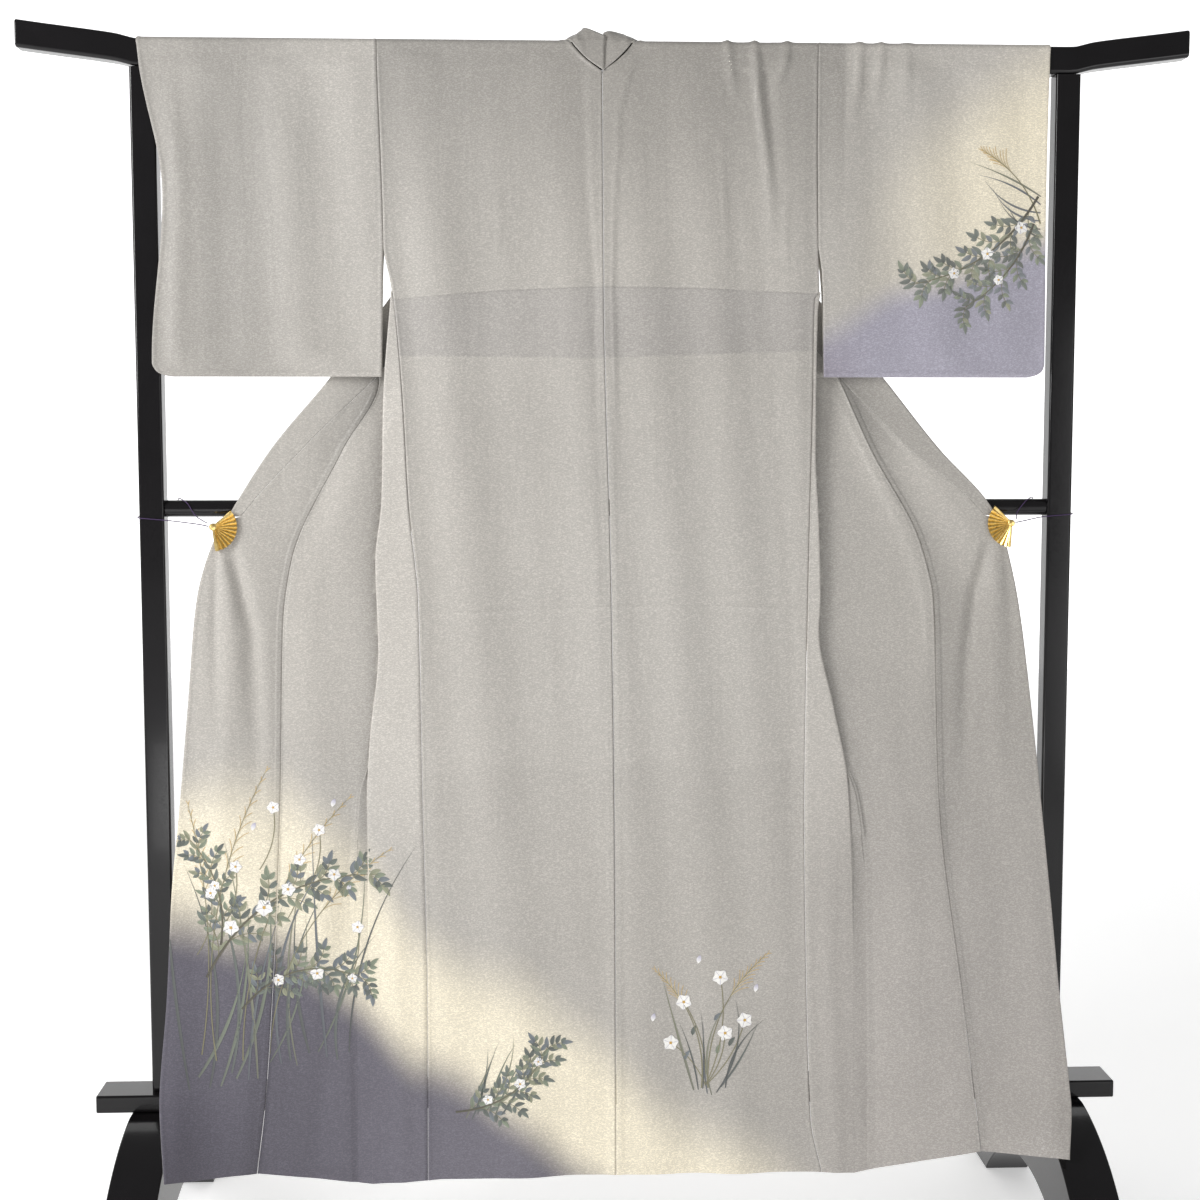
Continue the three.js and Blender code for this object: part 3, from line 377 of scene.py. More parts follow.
def silk(name, outer=True):
    """Crepe silk: coloured by the vertex colours (dye with painted shade and light), with a fine damask of small wavy
    floats that catch the light; the floats are also painted lighter, as painted glints.
    """
    m, nt, b = new_mat(name)
    co = nd(nt, "ShaderNodeTexCoord")
    dyec = nd(nt, "ShaderNodeVertexColor", layer_name="dye_and_painted_light")
    # the damask: short wavy floats about 4 mm long
    mp = nd(nt, "ShaderNodeMapping")
    mp.inputs["Scale"].default_value = (330, 330, 760)
    link(nt, co.outputs["Object"], mp.inputs["Vector"])
    n1 = nd(nt, "ShaderNodeTexNoise", Scale=1.0, Detail=1.0, Roughness=0.5, Distortion=1.1)
    link(nt, mp.outputs[0], n1.inputs["Vector"])
    r1 = nd(nt, "ShaderNodeValToRGB")
    r1.color_ramp.elements[0].position, r1.color_ramp.elements[1].position = 0.50, 0.585
    link(nt, n1.outputs["Fac"], r1.inputs[0])
    # crepe grain, well under a millimetre
    n2 = nd(nt, "ShaderNodeTexNoise", Scale=1500.0, Detail=2.0, Roughness=0.6)
    link(nt, co.outputs["Object"], n2.inputs["Vector"])
    # cloudy unevenness of hand-brushed dye
    n3 = nd(nt, "ShaderNodeTexNoise", Scale=5.5, Detail=3.0, Roughness=0.55)
    link(nt, co.outputs["Object"], n3.inputs["Vector"])
    # painted glints: the floats lighten the base colour
    shade = nd(nt, "ShaderNodeMapRange")
    shade.inputs["To Min"].default_value, shade.inputs["To Max"].default_value = (0.92, 1.22) if outer else (0.97, 1.04)
    link(nt, r1.outputs["Color"], shade.inputs["Value"])
    cloud = nd(nt, "ShaderNodeMapRange")
    cloud.inputs["From Min"].default_value, cloud.inputs["From Max"].default_value = 0.3, 0.7
    cloud.inputs["To Min"].default_value, cloud.inputs["To Max"].default_value = 0.965, 1.035
    link(nt, n3.outputs["Fac"], cloud.inputs["Value"])
    mul = nd(nt, "ShaderNodeMath", operation="MULTIPLY")
    link(nt, shade.outputs[0], mul.inputs[0])
    link(nt, cloud.outputs[0], mul.inputs[1])
    mixn = nd(nt, "ShaderNodeVectorMath", operation="SCALE")
    link(nt, dyec.outputs["Color"], mixn.inputs[0])
    link(nt, mul.outputs[0], mixn.inputs["Scale"])
    link(nt, mixn.outputs[0], b.inputs["Base Color"])
    rough = nd(nt, "ShaderNodeMapRange")
    rough.inputs["To Min"].default_value, rough.inputs["To Max"].default_value = (0.58, 0.33) if outer else (0.5, 0.42)
    link(nt, r1.outputs["Color"], rough.inputs["Value"])
    link(nt, rough.outputs[0], b.inputs["Roughness"])
    b.inputs["Sheen Weight"].default_value = 0.22
    b.inputs["Sheen Roughness"].default_value = 0.45
    b.inputs["Specular IOR Level"].default_value = 0.42
    # relief of grain and floats, and faint upright rumples
    mp2 = nd(nt, "ShaderNodeMapping")
    mp2.inputs["Scale"].default_value = (34, 34, 5)
    link(nt, co.outputs["Object"], mp2.inputs["Vector"])
    n4 = nd(nt, "ShaderNodeTexNoise", Scale=1.0, Detail=2.5, Roughness=0.5, Distortion=0.5)
    link(nt, mp2.outputs[0], n4.inputs["Vector"])
    b1 = nd(nt, "ShaderNodeBump", Strength=0.30, Distance=0.0006)
    b2 = nd(nt, "ShaderNodeBump", Strength=0.28, Distance=0.0005)
    b3 = nd(nt, "ShaderNodeBump", Strength=0.32, Distance=0.004)
    link(nt, n4.outputs["Fac"], b3.inputs["Height"])
    link(nt, r1.outputs["Color"], b1.inputs["Height"])
    link(nt, n2.outputs["Fac"], b2.inputs["Height"])
    link(nt, b3.outputs[0], b1.inputs["Normal"])
    link(nt, b1.outputs[0], b2.inputs["Normal"])
    link(nt, b2.outputs[0], b.inputs["Normal"])
    return m


def lacquer():
    m, nt, b = new_mat("black_lacquer")
    co = nd(nt, "ShaderNodeTexCoord")
    n = nd(nt, "ShaderNodeTexNoise", Scale=9.0, Detail=3.0, Roughness=0.6)
    link(nt, co.outputs["Object"], n.inputs["Vector"])
    ramp = nd(nt, "ShaderNodeValToRGB")
    ramp.color_ramp.elements[0].color = (0.0035, 0.0032, 0.0036, 1)
    ramp.color_ramp.elements[1].color = (0.009, 0.008, 0.009, 1)
    link(nt, n.outputs["Fac"], ramp.inputs[0])
    link(nt, ramp.outputs[0], b.inputs["Base Color"])
    d = nd(nt, "ShaderNodeTexNoise", Scale=420.0, Detail=2.0, Roughness=0.7)
    link(nt, co.outputs["Object"], d.inputs["Vector"])
    r = nd(nt, "ShaderNodeMapRange")
    r.inputs["From Min"].default_value, r.inputs["From Max"].default_value = 0.35, 0.8
    r.inputs["To Min"].default_value, r.inputs["To Max"].default_value = 0.10, 0.24
    link(nt, d.outputs["Fac"], r.inputs["Value"])
    link(nt, r.outputs[0], b.inputs["Roughness"])
    b.inputs["Coat Weight"].default_value = 0.08
    b.inputs["Specular IOR Level"].default_value = 0.3
    b.inputs["Coat Roughness"].default_value = 0.04
    bp = nd(nt, "ShaderNodeBump", Strength=0.05, Distance=0.0006)
    link(nt, n.outputs["Fac"], bp.inputs["Height"])
    link(nt, bp.outputs[0], b.inputs["Normal"])
    return m


def gold():
    m, nt, b = new_mat("gilt_brass")
    co = nd(nt, "ShaderNodeTexCoord")
    n = nd(nt, "ShaderNodeTexNoise", Scale=260.0, Detail=3.0, Roughness=0.6)
    link(nt, co.outputs["Object"], n.inputs["Vector"])
    ramp = nd(nt, "ShaderNodeValToRGB")
    ramp.color_ramp.elements[0].position, ramp.color_ramp.elements[1].position = 0.3, 0.75
    ramp.color_ramp.elements[0].color = (0.70, 0.47, 0.14, 1)
    ramp.color_ramp.elements[1].color = (0.96, 0.76, 0.34, 1)
    link(nt, n.outputs["Fac"], ramp.inputs[0])
    link(nt, ramp.outputs[0], b.inputs["Base Color"])
    b.inputs["Metallic"].default_value = 1.0
    r = nd(nt, "ShaderNodeMapRange")
    r.inputs["To Min"].default_value, r.inputs["To Max"].default_value = 0.2, 0.42
    link(nt, n.outputs["Fac"], r.inputs["Value"])
    link(nt, r.outputs[0], b.inputs["Roughness"])
    bp = nd(nt, "ShaderNodeBump", Strength=0.15, Distance=0.0003)
    link(nt, n.outputs["Fac"], bp.inputs["Height"])
    link(nt, bp.outputs[0], b.inputs["Normal"])
    return m


def cord_mat():
    m, nt, b = new_mat("purple_cord")
    co = nd(nt, "ShaderNodeTexCoord")
    w = nd(nt, "ShaderNodeTexWave", Scale=260.0, Distortion=0.4)
    w.bands_direction = "DIAGONAL"
    link(nt, co.outputs["Object"], w.inputs["Vector"])
    ramp = nd(nt, "ShaderNodeValToRGB")
    ramp.color_ramp.elements[0].color = (0.018, 0.008, 0.035, 1)
    ramp.color_ramp.elements[1].color = (0.075, 0.032, 0.13, 1)
    link(nt, w.outputs["Fac"], ramp.inputs[0])
    link(nt, ramp.outputs[0], b.inputs["Base Color"])
    b.inputs["Roughness"].default_value = 0.6
    bp = nd(nt, "ShaderNodeBump", Strength=0.6, Distance=0.0004)
    link(nt, w.outputs["Fac"], bp.inputs["Height"])
    link(nt, bp.outputs[0], b.inputs["Normal"])
    return m


def paint():
    """Brushed dye and a little gold: colours in the mesh, mottled by the crepe under it."""
    m, nt, b = new_mat("brushed_dye")
    co = nd(nt, "ShaderNodeTexCoord")
    c = nd(nt, "ShaderNodeVertexColor", layer_name="dye_and_painted_light")
    n = nd(nt, "ShaderNodeTexNoise", Scale=420.0, Detail=2.0, Roughness=0.6)
    link(nt, co.outputs["Object"], n.inputs["Vector"])
    r = nd(nt, "ShaderNodeMapRange")
    r.inputs["To Min"].default_value, r.inputs["To Max"].default_value = 0.86, 1.14
    link(nt, n.outputs["Fac"], r.inputs["Value"])
    s = nd(nt, "ShaderNodeVectorMath", operation="SCALE")
    link(nt, c.outputs["Color"], s.inputs[0])
    link(nt, r.outputs[0], s.inputs["Scale"])
    link(nt, s.outputs[0], b.inputs["Base Color"])
    b.inputs["Roughness"].default_value = 0.6
    b.inputs["Sheen Weight"].default_value = 0.15
    bp = nd(nt, "ShaderNodeBump", Strength=0.25, Distance=0.0005)
    link(nt, n.outputs["Fac"], bp.inputs["Height"])
    link(nt, bp.outputs[0], b.inputs["Normal"])
    return m


SILK, LINING_M, LACQUER, GOLD, CORD_M, PAINT = silk("silk_crepe"), silk("silk_lining", False), lacquer(), gold(), cord_mat(), paint()


# ---- mesh building -----------------------------------------------------------------------------
def normals(P):
    a = np.gradient(P, axis=0)
    b = np.gradient(P, axis=1)
    n = np.cross(a, b)
    ln = np.linalg.norm(n, axis=2, keepdims=True)
    n = n / np.maximum(ln, 1e-9)
    return n


def put(name, verts, faces, mats, idx=None, colours=None, smooth=True):
    me = bpy.data.meshes.new(name)
    me.vertices.add(len(verts))
    me.vertices.foreach_set("co", (np.asarray(verts, np.float32) * MM).ravel())
    faces = np.asarray(faces, np.int32)
    k = faces.shape[1]
    me.loops.add(faces.size)
    me.loops.foreach_set("vertex_index", faces.ravel())
    me.polygons.add(len(faces))
    me.polygons.foreach_set("loop_start", np.arange(0, faces.size, k, dtype=np.int32))
    for m in mats:
        me.materials.append(m)
    if idx is not None:
        me.polygons.foreach_set("material_index", np.asarray(idx, np.int32))
    me.polygons.foreach_set("use_smooth", np.full(len(faces), smooth))
    if colours is not None:
        at = me.color_attributes.new("dye_and_painted_light", "FLOAT_COLOR", "POINT")
        full = np.ones((len(verts), 4), np.float32)
        full[:, :3] = np.clip(colours, 0, 1)
        at.data.foreach_set("color", full.ravel())
    me.update(calc_edges=True)
    me.validate()
    o = bpy.data.objects.new(name, me)
    bpy.context.scene.collection.objects.link(o)
    return o


SURFACES = {}


def shell(name, P, what, node, outer=-1, t=CLOTH_T, relief=None, tags=None):
    """A cloth wall from its middle surface. outer is the side, in the grid's own normal, that faces out."""
    N = normals(P)
    if relief is not None:
        # the wall's two faces stay square to the panel, so that a seam's rims never cross
        P = P + N * outer * relief[:, :, None]
    m, n = P.shape[:2]
    A, B = P + N * outer * t / 2, P - N * outer * t / 2
    V = np.concatenate([A.reshape(-1, 3), B.reshape(-1, 3)])
    i, j = np.meshgrid(np.arange(m - 1), np.arange(n - 1), indexing="ij")
    q = (i * n + j).ravel()
    top = np.stack([q, q + 1, q + n + 1, q + n], 1)
    o = m * n
    low = top[:, ::-1] + o
    rim = np.concatenate([np.arange(n), np.arange(1, m) * n + n - 1, (m - 1) * n + np.arange(n - 2, -1, -1), np.arange(m - 2, 0, -1) * n])
    nx = np.roll(rim, -1)
    side = np.stack([nx, rim, rim + o, nx + o], 1)
    F = np.concatenate([top, low, side])
    # face orientation: the top faces must look the way of outer
    c = np.cross(A[1:, :-1] - A[:-1, :-1], A[:-1, 1:] - A[:-1, :-1])
    flip = (c * (N[:-1, :-1] * outer)).sum(2).mean() > 0
    if flip:
        F = F[:, ::-1]
    idx = np.concatenate([np.zeros(len(top)), np.ones(len(low)), np.zeros(len(side))])
    outer_col = dye_and_painted_light(A.reshape(-1, 3), what)
    if name.startswith(("cloth_okumi", "cloth_collar")):
        sd = name.split("_")[-1]
        Q = A.reshape(-1, 3)
        e = (-1 if sd == "left" else 1) * (Q[:, 0] - LN[sd]["okumi"].x(np.clip(Q[:, 2], 158, 1335)))
        # painted shadow under the sleeve: overlap panel and collar darker just outside the overlap seam, z about 1120
        # to 1345
        outer_col = outer_col * (1 - 0.50 * np.exp(-np.maximum(e - 1, 0) / 34) * step(Q[:, 2], 1120, 1320) * (1 - step(Q[:, 2], 1345, 1420)))[:, None]
        # painted shade beside the overlap seam, below about z 700
        outer_col = outer_col * (1 - 0.20 * np.exp(-np.maximum(e - 1, 0) / 12) * (1 - step(Q[:, 2], 600, 760)) * (e > 0.6))[:, None]
        # painted highlight: the right overlap panel is lighter in a band beside its seam, z about 1030 to 1240
        if sd == "right" and name.startswith("cloth_okumi"):
            outer_col = outer_col * (1 + 0.24 * np.exp(-((e - 62) / 34) ** 2) * band_of(Q[:, 2], 1030, 1240, 70, 50))[:, None]
        # painted shade beside the overlap seam, z about 620 to 1150
        outer_col = outer_col * (1 - 0.24 * np.exp(-np.maximum(e - 1, 0) / 20) * band_of(Q[:, 2], 620, 1150, 90, 60) * (e > 0.6))[:, None]
    if what == "front" and name.startswith("cloth_front"):
        outer_col = outer_col * fold_shade(A.reshape(-1, 3), name.split("_")[-1], what)[:, None]
    col = np.concatenate([outer_col, lining_dye(B.reshape(-1, 3))])
    ob = put(name, V, F, [SILK, LINING_M], idx, col)
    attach(ob, "root")
    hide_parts(node)
    d = np.linalg.norm(np.diff(P, axis=1), axis=2)
    h = np.linalg.norm(np.diff(P, axis=0), axis=2)
    area = float(np.linalg.norm(np.cross(P[1:, :-1] - P[:-1, :-1], P[:-1, 1:] - P[:-1, :-1]), axis=2).sum())
    SURFACES[name] = {"P": P, "A": A, "N": N * outer, "width": float(d.sum(1).max()), "length": float(h.sum(0).max()), "area": area, "ob": ob}
    return ob


def spaced(width, fine=1.1, coarse=5.0, grow=1.35):
    """0..1, close together at both ends, where the seams are."""
    half, s, d = [0.0], 0.0, fine
    while s + d < width / 2:
        s += d
        half.append(s)
        d = min(coarse, d * grow) if s > 7 * fine else fine
    half = np.array(half)
    both = np.concatenate([half, width - half[::-1]])
    return np.unique(np.clip(both / width, 0, 1))


def levels(top, coarse=5.5, close=()):
    """Row levels from top down to the hem (100), closer together around given heights."""
    out, z = [], float(top)
    while z > 100.2:
        out.append(z)
        d = coarse
        for c, r, f in close:
            if abs(z - c) < r:
                d = min(d, f)
        z -= d
    return np.array(out + [100.0])


def over_rail(sign, n=9):
    """[y, z] of the cloth's middle surface, from the shoulder ridge to the rail's face."""
    a = np.radians(np.linspace(90, 180, n))
    pts = [[-0.16, 1822.7], [-5.5, 1822.7]] + [[-11 + 7.6 * math.cos(t), 1815.1 + 7.6 * math.sin(t)] for t in a]
    return [[p[0] * sign, p[1]] for p in pts]


# ---- back panels -------------------------------------------------------------------------------
CLOSE = [(1456, 26, 1.3), (983, 22, 2.4), (1365, 12, 2.2), (112, 16, 1.6)]


def back_panel(side):
    L = LN[side]
    u = spaced(320)
    rows, reliefs = [], []
    sgn = -1 if side == "left" else 1
    neck = [[0, 0.985], [5.5, 0.955], [11, 0.93], [14.8, 0.85], [17.3, 0.78], [18.6, 0.72]]
    for y, z in over_rail(1):
        f = np.interp(-y, [r[0] for r in neck], [r[1] for r in neck])
        a = np.array([-12 + (L["neck"] + 12) * f, y, z])
        b = np.array([L["ridge"], y, z])
        rows.append(a + (b - a) * u[:, None])
    nk = [[1777, 0.0], [1785, 0.17], [1794, 0.37], [1804, 0.55], [1814, 0.70]]
    for z in np.arange(1811, 1778, -4.0):
        f = np.interp(z, [r[0] for r in nk], [r[1] for r in nk])
        y = -18.7 - 1.3 * (1815 - z) / 34
        a = np.array([-12 + (L["neck"] + 12) * f, y, z])
        b = np.array([L["ridge"], y, z])
        rows.append(a + (b - a) * u[:, None])
    for q in levels(1777, close=CLOSE):
        a, b = L["centre"].at(q), L["side"].at(q)
        rows.append(a + (b - a) * u[:, None])
    P = np.array(rows)
    P[:, 0] += (P[:, 1] - P[:, 0]) / np.linalg.norm(P[:, 1] - P[:, 0], axis=1, keepdims=True) * 0.16
    P[:, -1] -= (P[:, -1] - P[:, -2]) / np.linalg.norm(P[:, -1] - P[:, -2], axis=1, keepdims=True) * 0.16
    R = back_relief(P[:, :, 0], P[:, :, 2], np.tile(u, (len(P), 1)))
    # the collar seam stands up a little along the neck
    top = P[:, 0, 2] > 1779
    dn = np.abs(P[:, :, 0] - P[:, :1, 0]) * 0.62
    R += np.where(top[:, None], 1.5 * bump(dn - 2.2, 2.0), 0)
    # on the rail only the gathers stand up
    flat = step(P[:, :, 2], 1808, 1795)
    R = np.where(P[:, :, 2] > 1795, fold_relief(P[:, :, 0], P[:, :, 2]) + flat * (R - fold_relief(P[:, :, 0], P[:, :, 2])) + np.where(top[:, None], 1.2 * bump(dn - 2.2, 2.0), 0), R)
    R = np.maximum(R, np.where(P[:, :, 2] > 1780, -0.3, -3.5))
    return shell("cloth_back_" + side, P, "back", "back_" + side, outer=(-1 if side == "left" else 1), relief=R)


# ---- front panels, overlap bands and collars ---------------------------------------------------
def arc(a, b, c, r, n):
    la, lc = np.linalg.norm(a - b), np.linalg.norm(c - b)
    p, q = b + (a - b) * min(r, la * 0.45) / max(la, 1e-6), b + (c - b) * min(r, lc * 0.45) / max(lc, 1e-6)
    t = np.linspace(0, 1, n)[:, None]
    return (1 - t) ** 2 * p + 2 * t * (1 - t) * b + t * t * q


class Walk:
    def __init__(self, pts):
        self.p = np.asarray(pts, float)
        self.s = np.concatenate([[0], np.cumsum(np.linalg.norm(np.diff(self.p, axis=0), axis=1))])
        self.total = float(self.s[-1])

    def at(self, d):
        d = np.atleast_1d(d)
        return np.stack([np.interp(d, self.s, self.p[:, k]) for k in range(3)], 1)


HEAD, NARC, NA, NB = 12, 5, 12, 26
BFR = spaced(150, 1.2, 6.5, 1.4)


def front_row(L, q, s):
    z = q
    S, I, O, K = L["side"].at(q), L["inner"].at(q), L["edge"].at(q), L["okumi"].at(q)
    ya, yb = float(layer_a(z)), float(layer_b(z))
    I1 = np.array([I[0], ya, I[2]])
    I2 = np.array([I[0], max(yb, ya + 3.4 * step(z, 700, 800)), I[2]])
    if z > 1458:
        S[1] = float(edge_y(z))
        if z < 1480:
            S[0] += s * 0.8
        w = Walk([S, I1])
        head = w.at(np.linspace(0, 7.2, HEAD + 2 * NARC))
    else:
        F = L["fold"].at(q)
        drop = 5.8 * max(0.0, min(1.0, (z - 480) / 300))
        F2 = np.array([F[0], F[1] + drop + 0.02, F[2]])
        if z < 640:
            f = step(np.array(z), 560, 640)
            I1[1] = F2[1] + (I1[1] - F2[1]) * f
            I2[1] = F2[1] + 0.02 + (I2[1] - F2[1]) * f
        c1, c2 = arc(S, F, F2, 2.6, NARC), arc(F, F2, I1, 2.6, NARC)
        strip = S + (c1[0] - S) * np.linspace(0, 1, HEAD + 1)[:-1, None]
        head = np.concatenate([strip, c1, c2])
    nxt = O if z > 1340 else K
    c3, c4 = arc(head[-1], I1, I2, 2.3, NARC), arc(I1, I2, nxt, 2.3, NARC)
    mid = head[-1] + (c3[0] - head[-1]) * np.linspace(0, 1, NA + 2)[1:-1, None]
    path = np.concatenate([head, mid, c3, c4])
    whole = np.concatenate([path, [O] if z > 1340 else [K, O]])
    w = Walk(whole)
    band = float(lerp_table(BAND, z)) if z > 1122.5 else 0.0
    end = w.total - band if z > 1340 else w.s[len(path)]
    return path, w, end, band


def front_panel(side):
    L, s = LN[side], (-1 if side == "left" else 1)
    rows, turns = [], []
    for z, y, turn, width in TURN:
        ey = y if (z > 1790 and y < 18.7) else float(edge_y(z))
        if z > 1822 and y < 1:
            y = ey = 0.16
            z = 1822.7
        a, e = np.array([L["ridge"], ey, z]), np.array([L["neck"] + s * 1.2, y, z])
        w = Walk([a, e])
        row = list(w.at(np.linspace(0, 7.2, HEAD + 2 * NARC)))
        row += list(w.at(np.linspace(7.2, w.total, NA + 2)[1:]))
        n = 2 * NARC - 1 + len(BFR) - 1
        p = row[-1].copy()
        stepl = 4.8 / n
        for i in range(n):
            g = math.radians(turn * (i + 0.5) / n)
            p = p + np.array([-s * stepl * math.cos(g), stepl * math.sin(g), 0])
            row.append(p.copy())
        g = math.radians(turn)
        turns.append((p.copy(), np.array([-s * math.cos(g), math.sin(g), 0.0]), width))
        rows.append(np.array(row))
    bands = []
    close = [(1456, 8, 2.0), (1340, 9, 2.0), (112, 16, 1.6), (983, 18, 3.0)]
    for q in levels(1775, 5.5, close):
        path, w, end, band = front_row(L, q, s)
        b0 = w.s[len(path) - 1]
        tail = w.at(b0 + (end - 0.16 - b0) * BFR[1:])
        rows.append(np.concatenate([path, tail]))
        bands.append((q, w, end, band))
    n = min(len(r) for r in rows)
    assert all(len(r) == n for r in rows), {len(r) for r in rows}
    P = np.array(rows)
    inset = np.where(np.abs(P[:, :1, 2] - 1458) < 9, 0.8, 0.16)     # clear of the armhole's foot
    P[:, 0] += (P[:, 1] - P[:, 0]) / np.maximum(np.linalg.norm(P[:, 1] - P[:, 0], axis=1, keepdims=True), 1e-6) * inset
    x, z = P[:, :, 0], P[:, :, 2]
    col = np.arange(n)[None, :]
    nb0 = n - len(BFR) + 1
    on_b = np.clip((col - nb0) / (len(BFR) - 1), 0, 1)
    on_s = np.clip(1 - col / HEAD, 0, 1)
    low = step(z, 760, 420)
    R = 2.6 * slow(x, z, 2) * np.clip(on_b * 6, 0, 1) * np.clip((1 - on_b) * 8, 0, 1) * (z < 1340)
    R = R + np.where(z < 1440, 0.5 * bump((col - 1.2), 1.4) * (on_s > 0), 0)
    if side == "left":
        R = R + 5.0 * bump(x + 425, 34) * band_of(z, 330, 900, 120, 160) * on_b - 3.5 * bump(x - path_x([[-372, 700], [-420, 400], [-440, 180]], z), 20) * band_of(z, 150, 640, 60, 140)
        R = R + 3.2 * bump(x - path_x([[-330, 640], [-322, 380], [-315, 150]], z), 17) * low
    else:
        R = R + 4.5 * bump(x - path_x([[398, 900], [440, 560], [470, 150]], z), 30) * band_of(z, 200, 860, 120, 160) * np.clip(on_b * 2, 0, 1)
        R = R - 3.0 * bump(x - path_x([[376, 700], [392, 400], [400, 150]], z), 17) * band_of(z, 150, 700, 60, 120)
        R = R + 2.6 * bump(x - path_x([[330, 640], [334, 380], [344, 150]], z), 14) * low
        # a second pleat edge beside the overlap seam
        px = path_x([[320, 1332], [377, 1225], [449, 1075], [471, 999], [480, 900]], z)
        R = R + 1.6 * step(s * (x - px), -1.5, 1.5) * band_of(z, 930, 1330, 40, 10) * (on_b > 0.02)
    R = R + np.where((z < 1336) & (on_b > 0), 0.8 * bump((1 - on_b) * 150 - 4.5, 3.0), 0)
    R = R + 0.8 * bump(z - np.minimum.reduce(z, axis=0)[None, :] - 4, 8) * (z < 190)
    # hidden layers stay plain and clear of each other
    hidden = (col >= HEAD + NARC) & (col < nb0 + 2) & (z > 640)
    R = np.where(hidden | (z > 1336), 0, R)
    ob = shell("cloth_front_" + side, P, "front", "front_" + side, outer=(-1 if side == "left" else 1), relief=R)
    return bands, turns


def okumi_panel(side, bands):
    L, s = LN[side], (-1 if side == "left" else 1)
    fr = spaced(150, 1.2, 4.5, 1.35)
    rows, split = [], {}
    for q, w, end, band in bands:
        if q > 1340:
            continue
        to = max(end + 1.2, w.total - band)
        split[q] = to
        rows.append(w.at(end + 0.16 + (to - (0.16 if band else 0) - end - 0.16) * fr))
    P = np.array(rows)
    x, z = P[:, :, 0], P[:, :, 2]
    f = fr[None, :]
    mid = np.clip(np.minimum(f, 1 - f) * 5, 0, 1)
    R = 2.4 * slow(x, z, 4) * mid
    # folds that the clip draws in
    if side == "left":
        sets = [([[-570, 1105], [-564, 1072], [-536, 958], [-532, 843], [-524, 640]], 11, -7.5, 1090, 1000, 700),
                ([[-585, 1085], [-588, 1040], [-590, 960]], 6, -3.0, 1085, 1050, 930),
                ([[-578, 1090], [-568, 1030], [-566, 900], [-580, 700]], 12, 4.0, 1080, 1000, 620),
                ([[-560, 1130], [-500, 1190], [-440, 1260]], 12, 3.0, 1130, 1150, 1240)]
    else:
        sets = [([[582, 1105], [573, 1086], [553, 1013], [540, 896], [538, 760]], 10, -7.0, 1090, 1010, 740),
                ([[600, 1080], [604, 1030], [610, 930]], 7, -2.5, 1080, 1040, 900),
                ([[590, 1095], [584, 1040], [580, 920], [594, 700]], 12, 4.0, 1080, 1000, 620),
                ([[575, 1135], [520, 1190], [450, 1260]], 12, 2.6, 1130, 1150, 1240)]
    for pts, wd, h, top, full, gone in sets:
        if gone < full:
            fade = (1 - step(z, full + 50, top + 30)) * step(z, gone - 160, full - 40)
        else:
            fade = step(z, top - 10, full) * (1 - step(z, gone, gone + 60))
        R = R + h * bump(x - path_x(pts, z), wd * (1 + 0.5 * step(z, 1050, 750))) * fade * mid
    # low folds of the hanging edge
    R = R + 3.0 * np.sin((x * s - 480) * 0.043) * step(z, 640, 200) * mid
    # seam ridge, and the turned free edge
    wdt = np.linalg.norm(P[:, -1] - P[:, 0], axis=1)[:, None]
    R = R + np.where(z > 700, 1.1, 0.6) * band_of(f * wdt, 0.4, 8.5, 0.6, 1.2) * np.clip(wdt / 30, 0, 1) - 0.9 * bump(f * wdt, 0.9)
    R = R + np.where(z < 1112, 0.6 * bump((1 - f) * wdt - 3, 2.5), 0)
    shell("cloth_okumi_" + side, P, "front", "okumi_" + side, outer=(-1 if side == "left" else 1), relief=R)
    return split


def catmull(rows, per):
    """Rows between rows, smoothly; per is how many for each gap."""
    rows = np.asarray(rows, float)
    pad = np.concatenate([[2 * rows[0] - rows[1]], rows, [2 * rows[-1] - rows[-2]]])
    out = []
    for i in range(1, len(pad) - 2):
        p0, p1, p2, p3 = pad[i - 1:i + 3]
        for t in np.linspace(0, 1, per, endpoint=False):
            out.append(0.5 * (2 * p1 + (p2 - p0) * t + (2 * p0 - 5 * p1 + 4 * p2 - p3) * t * t + (3 * p1 - p0 - 3 * p2 + p3) * t ** 3))
    out.append(rows[-1])
    return np.array(out)


def collar(side, bands, turns, split):
    s = -1 if side == "left" else 1
    n = 17
    f = np.linspace(0, 1, n)
    coarse = []
    for st in (NECK_L if side == "left" else NECK_R):
        fine = catmull(np.array(st)[:, None, :], 8)[:, 0]
        w = Walk(fine)
        coarse.append(w.at(w.total * (0.02 + 0.98 * f)))
    for k, (p, d, width) in enumerate(turns[3:]):
        lift = [14, 8, 3, 1, 0][k]
        r = p + d * (0.5 + (width - 0.5) * f)[:, None]
        r[:, 1] += 1.2 * np.sin(f * math.pi)
        r[:, 2] += lift * np.sin(f * 1.7)
        coarse.append(r)
    lower = []
    for q, w, end, band in bands:
        if q < 1123.5:
            break
        a = end if q > 1340 else split[q]
        lower.append(w.at(a + 0.16 + (w.total - a - 0.16) * f))
    head = catmull(np.array(coarse + [lower[0], lower[2]]), 7)[: 7 * len(coarse)]
    P = np.concatenate([head, lower])
    z = P[:, :, 2]
    ff = f[None, :]
    k = np.arange(len(P))[:, None]
    wdt = np.linalg.norm(P[:, -1] - P[:, 0], axis=1)[:, None]
    R = np.where(k > len(head), 0.5 * bump((1 - ff) * wdt - 2.5, 2.0), 0.35 * bump((1 - ff) * wdt - 2.0, 2.0))
    # the crease where the collar leaves the rail
    R = R + np.where(k < 14, 0.9 * bump(z - 1822, 1.3), 0)
    shell("cloth_collar_" + side, P, "collar", "collar_" + side, outer=(-1 if side == "left" else 1), relief=R)


